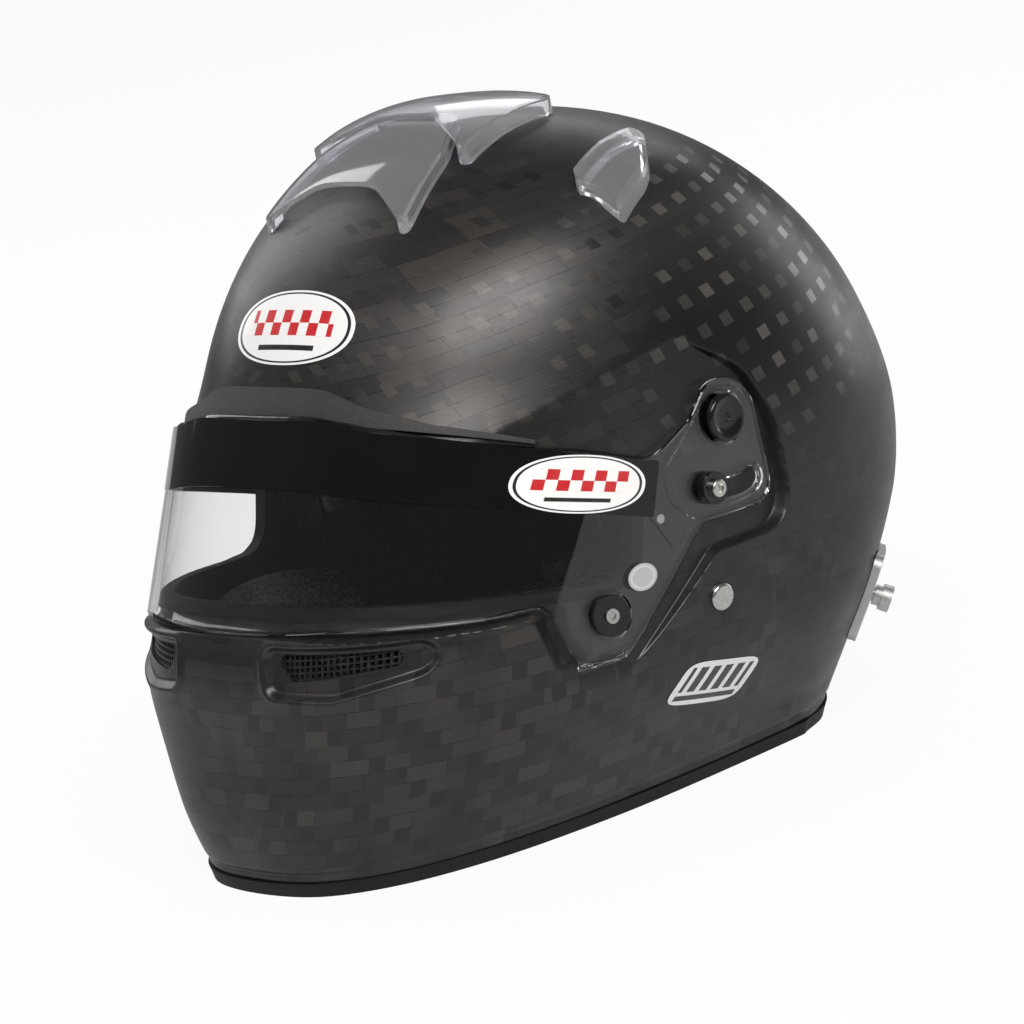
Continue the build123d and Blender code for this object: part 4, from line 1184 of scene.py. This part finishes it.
visor_chamfer, visor_edge_step, visor_fill_step = 0.0006, 0.0012, 0.0035
visor_mesh = plate("visor_pane_mesh", visor_loop, holes, on_moulding, visor_wall, visor_chamfer,
                   visor_edge_step, visor_fill_step, folds)
add_piece("visor_pane", visor_mesh, clear, "visor", ["visor_shield"])


# %% [markdown]
# A moulded tab for the finger runs along the foot of each lobe, and a round
# black cover closes each pivot. Both are rings of points: the tab's rings follow
# the visor's surface, and the cover's are a profile turned about the pivot.

# %% Rings
def ringed(name, rings):
    """A closed mesh from rings of points, all of one count, with both ends shut."""
    rows, count = rings.shape[:2]
    faces = list(grid_faces(rows, count, True)) + [np.arange(count), np.arange(count) + (rows - 1) * count]
    mesh = make_mesh(name, rings, faces)
    shape = bmesh.new()
    shape.from_mesh(mesh)
    bmesh.ops.recalc_face_normals(shape, faces=shape.faces)
    shape.to_mesh(mesh)
    shape.free()
    return mesh


def turned(name, profile, y, z, side):
    """A profile of radius and height above the shell's side, turned about a
    sideways axis through a place of the side view."""
    c, s = full_turn(72)
    radius, out = np.array(profile).T[:, :, None]
    return ringed(name, np.stack(np.broadcast_arrays(side * out, y + radius * c, z + radius * s), axis=-1))


# %% Finger tabs and pivot covers
sides = ((1, "left"), (-1, "right"))
cap_corners = np.array([tuple(nodes["pivot_cap_left"].matrix_world @ Vector(c))
                        for c in nodes["pivot_cap_left"].bound_box])
cap_low, cap_high = cap_corners[:, 0].min(), cap_corners[:, 0].max()
cap_face = [(0.0009, 0.0017), (0.0016, 0.0017), (0.0019, 0.0012), (0.0045, 0.0011), (0.0067, 0.0006),
            (0.0075, 0.0001), (0.0082, 0.0000), (0.0088, 0.0002), (0.0093, 0.0006), (0.0095, 0.0012)]
cap_profile = [(radius, cap_high - sunk_by) for radius, sunk_by in cap_face]
cap_profile += [(0.0095, cap_low + 0.0002), (0.0093, cap_low), (0.0010, cap_low)]
tab_start, tab_end, tab_end_gap = -0.480 * shell_reach, -0.356 * shell_reach, 0.004
tab_low, tab_thick, tab_reach, tab_root = 0.261 * shell_height + 0.0002, 0.0022, 0.0038, 0.0004
tab_bow, tab_corner = 0.45, 0.6


def finger_tab(name, side):
    """A bar along the foot of a lobe: its section is a rounded oblong, and its
    reach is a sine of the way along, raised to a small power to blunt the ends."""
    share = np.linspace(tab_end_gap, 1 - tab_end_gap, 36)[:, None]
    c, s = full_turn(24)
    reach = tab_reach * np.sin(math.pi * share) ** tab_bow
    out = (reach + tab_root) * (1 + signed_power(c, tab_corner)) / 2 - tab_root
    height = tab_low + tab_thick / 2 * (1 + signed_power(s, tab_corner))
    along = tab_start + (tab_end - tab_start) * share
    out, height, along = np.broadcast_arrays(out, height, along)
    return ringed(name, visor_point(height, along, side, -out))


for side, word in sides:
    add_piece(f"finger_tab_{word}", finger_tab(f"finger_tab_{word}_mesh", side), clear, "visor")
    add_piece(f"pivot_cover_{word}", turned(f"pivot_cover_{word}_mesh", cap_profile, pivot_y, pivot_z, side),
              plastic, "helmet", [f"pivot_cap_{word}"])

# %% [markdown]
# ## Stickers
# Two white ovals carry a red chequer over a dark bar, a slanted badge on the
# side carries dark bars, and a small round mark is plain grey. A printed film is
# 0.1 mm thick, so each is a very thin plate whose print is drawn from its flat
# pattern by comparing distances.

# %% Shell surface for flat patterns
way_up = np.linspace(0, crown_station * 0.995, 1500)
way_height = shell_curve(way_up)[:, 0]


def shell_gap(points):
    """How far points lie outside the shell's level outline, negative inside: the
    distance from the outline's middle, less the superellipse's reach that way."""
    x, y, z = np.moveaxis(points, -1, 0)
    _, half, ahead, behind, mid, corner = np.moveaxis(shell_curve(np.interp(z, way_height, way_up)), -1, 0)
    back = y > mid
    radius = np.hypot(x, y - mid) + 1e-9
    exponent = np.where(back, rear_power, corner)
    reach = np.where(back, behind, ahead)
    edge = (np.abs(x / radius / half) ** exponent
            + np.abs((y - mid) / radius / reach) ** exponent) ** (-1 / exponent)
    return radius - edge


nudge, film_lift = 1e-4, 0.0003


def on_shell(centre, tilt):
    """A laying function for flat patterns at a place of the shell: tangent and
    upright directions from the surface's slope, turned by a tilt, and each point
    dropped along the normal until it meets the surface."""
    gap = shell_gap(centre + nudge * np.vstack([np.zeros(3), np.eye(3)]))
    normal = (gap[1:] - gap[0]) / nudge
    normal /= np.linalg.norm(normal)
    across = np.cross([0, 0, 1], normal)
    across /= np.linalg.norm(across)
    upright = np.cross(normal, across)
    along = math.cos(tilt) * across + math.sin(tilt) * upright
    above = math.cos(tilt) * upright - math.sin(tilt) * across

    def lay_on(a, b, depth):
        points = centre + np.multiply.outer(a, along) + np.multiply.outer(b, above)
        for _ in range(6):
            gap = shell_gap(points)
            slope = (shell_gap(points + normal * nudge) - gap) / nudge
            points = points - (gap / slope)[:, None] * normal
        return points - (depth - film_lift)[:, None] * normal
    return lay_on


def stadium(width, height, corner, count=120):
    """A rounded oval: half the width and height times the cosine and sine raised
    to 2 over the corner power."""
    c, s = full_turn(count)
    return np.stack([width / 2 * signed_power(c, 2 / corner),
                     height / 2 * signed_power(s, 2 / corner)], axis=1)


# %% Prints
def printed(name, draw):
    """A glossy printed film whose colour is drawn by a function of the flat places."""
    material, tree, shader = new_material(name)
    tone = draw(tree, *laid_places(tree))
    speck = noise(tree, object_place(tree), 260.0)
    worn = mix_colour(tree, ramp(tree, speck, 0.3, 0.8, 0.0, 0.05), tone, (0.45, 0.45, 0.44, 1))
    set_shader(tree, shader, {"Base Color": worn, "Roughness": 0.30,
                              "Coat Weight": 0.4, "Coat Roughness": 0.15})
    return material


print_blur = 0.00012
print_white, print_black = (0.86, 0.86, 0.86, 1), (0.010, 0.010, 0.012, 1)
print_red = (0.55, 0.010, 0.016, 1)
badge_white, badge_black = (0.84, 0.84, 0.85, 1), (0.012, 0.012, 0.014, 1)
mark_grey, mark_ring = (0.42, 0.42, 0.43, 1), (0.56, 0.56, 0.57, 1)


def less(tree, value, limit):
    """1 where a value is under a limit, with a soft edge."""
    return ramp(tree, value, limit + print_blur, limit - print_blur)


def oblong(tree, a, b, half_width, half_height, rise):
    """1 inside an upright rectangle whose middle is at a rise above the centre."""
    return times(tree, less(tree, magnitude(tree, a), half_width),
                 less(tree, magnitude(tree, plus(tree, b, -rise)), half_height))


def between(tree, value, low, low_end, high_start, high):
    """1 between two limits, with a rise after the low one and a fall before the high one."""
    return times(tree, ramp(tree, value, low, low_end), ramp(tree, value, high, high_start))


def oval_print(width, height, corner, squares):
    """White film with a fine black line along its edge, a red chequer across the
    middle and a thin dark bar under it. The line follows the superellipse whose
    two shares, raised to the corner power and added, are 1 on the edge."""
    def draw(tree, a, b):
        shares = [raised(tree, magnitude(tree, over(tree, place, size / 2)), corner)
                  for place, size in ((a, width), (b, height))]
        line = between(tree, raised(tree, plus(tree, *shares), 1 / corner), 0.895, 0.905, 0.940, 0.950)
        cell, rise = width * 0.70 / squares, height * 0.06
        column = floored(tree, over(tree, a, cell))
        row = floored(tree, over(tree, plus(tree, b, -rise), cell))
        odd = zigzag(tree, plus(tree, column, row), 1.0)
        band = oblong(tree, a, b, width * 0.35, cell, rise)
        bar = oblong(tree, a, b, width * 0.24, height * 0.035, -height * 0.27)
        tone = mix_colour(tree, times(tree, band, odd), print_white, print_red)
        return mix_colour(tree, larger(tree, line, bar), tone, print_black)
    return draw


def slanted_print(width, height, lean):
    """White film with slanted dark bars over a dark base line."""
    def draw(tree, a, b):
        straight = minus(tree, a, times(tree, b, lean))
        wave = fraction(tree, over(tree, straight, width / 6))
        bars = between(tree, wave, 0.14, 0.17, 0.77, 0.80)
        inside = oblong(tree, straight, b, width * 0.42, height * 0.28, height * 0.09)
        foot = oblong(tree, straight, b, width * 0.42, height * 0.06, -height * 0.33)
        return mix_colour(tree, larger(tree, times(tree, bars, inside), foot), badge_white, badge_black)
    return draw


def dot_print(tree, a, b):
    """Grey film with a faint ring."""
    out = root(tree, plus(tree, times(tree, a, a), times(tree, b, b)))
    return mix_colour(tree, between(tree, out, 0.0036, 0.0039, 0.0043, 0.0046), mark_grey, mark_ring)


# %% Lay the stickers
film_thick, film_chamfer, film_edge_step, film_fill_step = 0.00012, 0.00003, 0.0010, 0.0030


def sticker(name, outline, lay_on, draw, body):
    """One printed film as a piece."""
    mesh = plate(name + "_film", outline, [], lay_on, film_thick, film_chamfer,
                 film_edge_step, film_fill_step)
    add_piece(name, mesh, printed(name + "_print", draw), body)


def on_pane(y, z, tilt, lift):
    """A laying function for flat patterns over the visor's outer face."""
    hub = unrolled(np.array([[y, z]]))[0]

    def lay_on(a, b, depth):
        return on_visor(hub[0] + a * math.cos(tilt) - b * math.sin(tilt),
                        hub[1] + a * math.sin(tilt) + b * math.cos(tilt), depth - lift)
    return lay_on


forehead = np.array([0.003, -0.101, 0.211])
side_badge = np.array([0.109, -0.011, 0.045])
badge_width, badge_height, badge_lean = 0.043, 0.020, 0.35
badge = stadium(badge_width, badge_height, 5.0)
badge[:, 0] += badge[:, 1] * badge_lean
forehead_size, pane_size, mark_size = (0.068, 0.031, 2.2), (0.045, 0.0215, 2.2), (0.0105, 0.0105, 2.0)
sticker("forehead_oval", stadium(*forehead_size), on_shell(forehead, 0.0),
        oval_print(*forehead_size, 9), "helmet")
sticker("side_badge", badge, on_shell(side_badge, math.radians(-15)),
        slanted_print(badge_width, badge_height, badge_lean), "helmet")
sticker("visor_oval", stadium(*pane_size), on_pane(-0.0620, 0.1400, math.radians(-20), 2 * film_lift),
        oval_print(*pane_size, 8), "visor")
sticker("round_mark", stadium(*mark_size, 60), on_pane(-0.0462, 0.0986, 0.0, film_lift), dot_print, "visor")

# %% [markdown]
# ## Pads
# The lining is foam under brushed fleece. Each pad starts from its CAD solid as
# a copy, which is rebuilt as even cells a few millimetres wide, drawn in a
# little, and then blown up as cloth with a gentle pressure. The cloth rounds
# the edges and puckers slightly, as a sewn cover does. How far a point may move
# is capped, so the pad stays in its own space. Seams are pressed in afterwards,
# because the rebuild would erase them.

# %% Blow up a pad
cloth_frames, pad_sharp_angle = 20, 60


def evaluated(body):
    """An object as its modifiers leave it."""
    return body.evaluated_get(bpy.context.evaluated_depsgraph_get())


def even_cells(name, source, cell):
    """A copy of a node's mesh in the scene's own frame, rebuilt as even cells."""
    mesh = source.data.copy()
    mesh.transform(source.matrix_world)
    body = new_object(name, mesh)
    rebuild = body.modifiers.new("even", "REMESH")
    rebuild.mode, rebuild.voxel_size = "VOXEL", cell
    made = bpy.data.meshes.new_from_object(evaluated(body))
    body.modifiers.clear()
    body.data = made
    return body


def places_of(mesh):
    """All vertex places of a mesh."""
    return read_out(mesh.vertices, "co", 3, np.float32).astype(float)


def normals_of(mesh):
    """All vertex normals of a mesh."""
    return read_out(mesh.vertex_normals, "vector", 3, np.float32).astype(float)


def move_points(mesh, places):
    """Give a mesh new vertex places."""
    mesh.vertices.foreach_set("co", places.ravel())
    mesh.update()


def pad(name, node, cell, drawn_in, pressure, cap, seams):
    """A padded piece from a CAD node. Seams are functions of the vertex places
    that give the distance to each seam line."""
    body = even_cells(name, nodes[node], cell)
    places = start = places_of(body.data) - drawn_in * normals_of(body.data)
    move_points(body.data, start)
    cloth = body.modifiers.new("cloth", "CLOTH")
    cloth.settings.quality = 4
    cloth.settings.use_pressure = True
    cloth.settings.uniform_pressure_force = pressure
    cloth.settings.effector_weights.gravity = 0.0
    for frame_number in range(1, cloth_frames + 1):
        bpy.context.scene.frame_set(frame_number)
    moved = places_of(evaluated(body).data) - start
    size = np.linalg.norm(moved, axis=1, keepdims=True)
    places = start + moved * np.minimum(1.0, cap / np.maximum(size, 1e-9))
    body.modifiers.clear()
    bpy.context.scene.frame_set(1)
    move_points(body.data, places)
    finer = body.modifiers.new("finer", "SUBSURF")
    finer.levels = finer.render_levels = 1
    mesh = bpy.data.meshes.new_from_object(evaluated(body))
    bpy.data.objects.remove(body)
    places, normals = places_of(mesh), normals_of(mesh)
    for far in seams:
        places = places - normals * (seam_depth * np.exp(-(far(places) / seam_width) ** 2))[:, None]
    move_points(mesh, places)
    finish_mesh(mesh, None, pad_sharp_angle)
    mesh.materials.clear()
    piece = add_piece(name, mesh, fleece, "helmet", [node])


def across_seam(axis, place):
    """Distance to a flat seam across one axis."""
    return lambda points: np.abs(points[:, axis] - place)


def face_seam(side):
    """Distance to the seam round a cheek pad, where its face meets its side."""
    return lambda points: np.abs(side * points[:, 0] - cheek_seam_x)


# %% The pads of this helmet
seam_depth, seam_width = 0.0013, 0.0022
cheek_seam_x, crown_seam_x, crown_seam_y, chin_seam_x, neck_seam_z = 0.0690, 0.024, 0.030, 0.030, 0.030
for side, word in sides:
    pad(f"cheek_cushion_{word}", f"cheek_pad_{word}", 0.0045, 0.0016, 4.0, 0.0045, [face_seam(side)])
pad("crown_cushion", "comfort_liner", 0.0040, 0.0008, 2.0, 0.0012,
    [across_seam(0, -crown_seam_x), across_seam(0, crown_seam_x), across_seam(1, crown_seam_y)])
pad("chin_cushion", "chin_liner", 0.0040, 0.0010, 2.0, 0.0014,
    [across_seam(0, -chin_seam_x), across_seam(0, chin_seam_x)])
pad("neck_roll", "neck_pad", 0.0045, 0.0012, 3.0, 0.0025, [across_seam(2, neck_seam_z)])

# %% [markdown]
# ## Chin strap
# The strap is flat webbing. It is swept along its route as a thin band with
# rounded selvedges. The route runs down the wall from the rivet and across
# under the chin, and both ends meet in the two rings. The weave is drawn from
# the length along the route and the place across the band.

# %% The strap's plane and route
rivet_y, rivet_z = -0.062 * shell_reach, 0.295 * shell_height
strap_foot = np.array([0.0, rivet_y - 0.200 * shell_reach, 0.0])
strap_up = np.array([0.0, rivet_y, rivet_z]) - strap_foot
strap_up /= np.linalg.norm(strap_up)
strap_side = np.cross([1.0, 0, 0], strap_up)
strap_half, strap_thick, strap_gap = 0.0099, 0.0022, 0.0012
wall_shares, strap_bends, strap_step = (0.315, 0.210, 0.100), (0.060, 0.026, 0.030, 0.040), 0.0025


def inner_wall_x(y, z, inset):
    """Half the inside width at a place of the side view: the half width times the
    root of one minus the share of the reach, each less the inset."""
    _, half, ahead, behind, mid, corner = shell_curve(np.interp(z, way_height, way_up))
    reach, power_here = (behind, rear_power) if y > mid else (ahead, corner)
    return (half - inset) * (1 - (abs(y - mid) / (reach - inset)) ** power_here) ** (1 / power_here)


def softened(points, radii, step):
    """An open route with its corners rounded, as points at even steps."""
    bends = [corner_arc(points[i], points[i - 1], points[i + 1], radius, 24)
             for i, radius in enumerate(radii, start=1)]
    route = np.vstack([points[:1], *bends, points[-1:]])
    run = np.concatenate([[0], np.cumsum(np.linalg.norm(np.diff(route, axis=0), axis=1))])
    places = np.linspace(0, run[-1], int(run[-1] / step))
    return np.stack([np.interp(places, run, route[:, k]) for k in (0, 1)], axis=1), places


def strap_route(layer, end_x):
    """The band's middle line in its plane: out along X and up the plane."""
    spots = []
    for share in wall_shares:
        z = share * shell_height
        place = strap_foot + strap_up * z / strap_up[2]
        spots.append((inner_wall_x(place[1], z, shell_wall) - strap_thick - strap_gap, z / strap_up[2]))
    spots.append((0.5 * shell_half_width, 0.060 * shell_height / strap_up[2] + layer))
    level_up = 0.043 * shell_height / strap_up[2] + layer
    spots += [(0.310 * shell_half_width, level_up), (end_x, level_up)]
    return softened(np.array(spots), strap_bends, strap_step)


def band(name, route, places, side):
    """A flat band along a route: a rounded flat oval carried along it, with both
    ends closed."""
    run = np.gradient(route, axis=0)
    run /= np.linalg.norm(run, axis=1, keepdims=True)
    normal = np.stack([-run[:, 1], run[:, 0]], axis=1)
    c, s = full_turn(40)
    wide, thick = strap_half * signed_power(c, 0.25), strap_thick / 2 * signed_power(s, 0.5)
    flat = route[:, None, :] + normal[:, None, :] * thick[None, :, None]
    points = (strap_foot + flat[..., :1] * [side, 0, 0] + flat[..., 1:] * strap_up
              + wide[None, :, None] * strap_side)
    ring = len(wide)
    faces = grid_faces(len(route), ring, True)
    ends = [np.arange(ring)[::-1], np.arange(ring) + (len(route) - 1) * ring]
    if side > 0:
        faces, ends = faces[:, ::-1], [end[::-1] for end in ends]
    uv = np.stack(np.broadcast_arrays(places[:, None], wide[None, :]), axis=-1)
    return make_mesh(name, points, list(faces) + ends, uv, 50)


# %% Webbing
cord_pitch, twill_pitch = 0.0016, 0.0021
webbed, tree, shader = new_material("strap_webbing")
u, v = laid_places(tree)
cord = sine(tree, times(tree, v, 2 * math.pi / cord_pitch))
twill = sine(tree, times(tree, plus(tree, u, magnitude(tree, v)), 2 * math.pi / twill_pitch))
woven = plus(tree, times(tree, plus(tree, cord, twill), 0.25), 0.5)
shade = mix_colour(tree, woven, (0.006, 0.006, 0.006, 1), (0.024, 0.024, 0.024, 1))
set_shader(tree, shader, {"Base Color": shade, "Roughness": 0.75, "Specular IOR Level": 0.2})
bump(tree, shader, woven, 0.6, 0.0004)

strap_layer, ring_middle, past_ring = 0.00135, 0.170 * shell_half_width, 0.012
for side, word in sides:
    route, places = strap_route(-side * strap_layer, side * ring_middle - past_ring)
    add_piece(f"strap_band_{word}", band(f"strap_band_{word}_mesh", route, places, side), webbed,
              "helmet", [f"chin_strap_{word}"])
    print("strap", word, "length", round(places[-1], 3), "m")

# %% [markdown]
# ## Floor and light
# The photograph is a cut-out on white. A white floor keeps a soft contact
# shadow under the rim. The floor glows for the camera, and for reflections and
# for rays through the visor, but it doesn't light the helmet more than paper
# would.

# %% Floor
def ray_kinds(tree):
    """Two marks for the rays that reach a surface or the sky: those that came
    straight or through glass, and those that something reflected."""
    rays = tree.nodes.new("ShaderNodeLightPath")
    direct = under(tree, rays.outputs["Diffuse Depth"], 0.5)
    unmirrored = under(tree, rays.outputs["Glossy Depth"], 0.5)
    through = times(tree, rays.outputs["Is Transmission Ray"], times(tree, direct, unmirrored))
    mirrored = times(tree, direct, minus(tree, 1.0, unmirrored))
    return larger(tree, rays.outputs["Is Camera Ray"], through), mirrored


def stage_white(name, glow, mirrored_glow):
    """White paper: plain diffuse, mixed with a glow that only the camera, mirror
    and glass rays see."""
    material, tree, shader = new_material(name)
    set_shader(tree, shader, {"Base Color": (0.75, 0.75, 0.75, 1),
                              "Roughness": 0.9, "Specular IOR Level": 0.0})
    seen, mirrored = ray_kinds(tree)
    emission = tree.nodes.new("ShaderNodeEmission")
    set_shader(tree, emission, {"Color": (1, 1, 1, 1),
                                "Strength": ramp(tree, mirrored, 0.0, 1.0, 1.0, mirrored_glow)})
    mixer = tree.nodes.new("ShaderNodeMixShader")
    tree.links.new(larger(tree, times(tree, seen, glow), mirrored), mixer.inputs[0])
    tree.links.new(shader.outputs[0], mixer.inputs[1])
    tree.links.new(emission.outputs[0], mixer.inputs[2])
    output = next(n for n in tree.nodes if n.type == "OUTPUT_MATERIAL")
    tree.links.new(mixer.outputs[0], output.inputs["Surface"])
    return material


floor_half, paper_glow, mirrored_paper = 4.0, 0.92, 0.66
floor_mesh = bpy.data.meshes.new("floor")
floor_corners = [(x * floor_half, y * floor_half, 0) for x, y in ((-1, -1), (1, -1), (1, 1), (-1, 1))]
floor_mesh.from_pydata(floor_corners, [], [(0, 1, 2, 3)])
floor = new_object("floor", floor_mesh)
floor_mesh.materials.append(stage_white("white_paper", paper_glow, mirrored_paper))

world_fill, world_mirrored = 0.46, 0.14
world = bpy.data.worlds.new("studio")
bpy.context.scene.world = world
world.use_nodes = True
tree = world.node_tree
tree.nodes.clear()
seen, mirrored = ray_kinds(tree)
sky = tree.nodes.new("ShaderNodeBackground")
dim = plus(tree, world_fill, times(tree, mirrored, world_mirrored - world_fill))
set_shader(tree, sky, {"Color": (1, 1, 1, 1), "Strength": larger(tree, dim, seen)})
output = tree.nodes.new("ShaderNodeOutputWorld")
tree.links.new(sky.outputs[0], output.inputs["Surface"])


# %% Lamps
lit_middle = Vector((0, 0, 0.15))


def softbox(name, azimuth_deg, elevation_deg, away, width, height, watts, colour=(1, 1, 1)):
    """A rectangular lamp at an azimuth, elevation and distance from the middle of
    the helmet, facing it."""
    data = bpy.data.lights.new(name, "AREA")
    data.shape, data.size, data.size_y, data.energy = "RECTANGLE", width, height, watts
    data.color = colour
    lamp = new_object(name, data)
    toward_lamp = outward(math.radians(azimuth_deg), math.radians(elevation_deg))
    lamp.location = lit_middle + away * toward_lamp
    lamp.rotation_euler = (-toward_lamp).to_track_quat("-Z", "Y").to_euler()


softbox("key", 58, 46, 2.2, 1.6, 0.8, 40, (1, 0.965, 0.93))
softbox("behind", -150, 34, 2.4, 1.8, 0.9, 9)
softbox("far_side", 176, 8, 2.4, 1.0, 1.2, 10)
softbox("near_left", -92, 28, 2.2, 0.9, 1.4, 10)
print("lamps", len(bpy.data.lights))
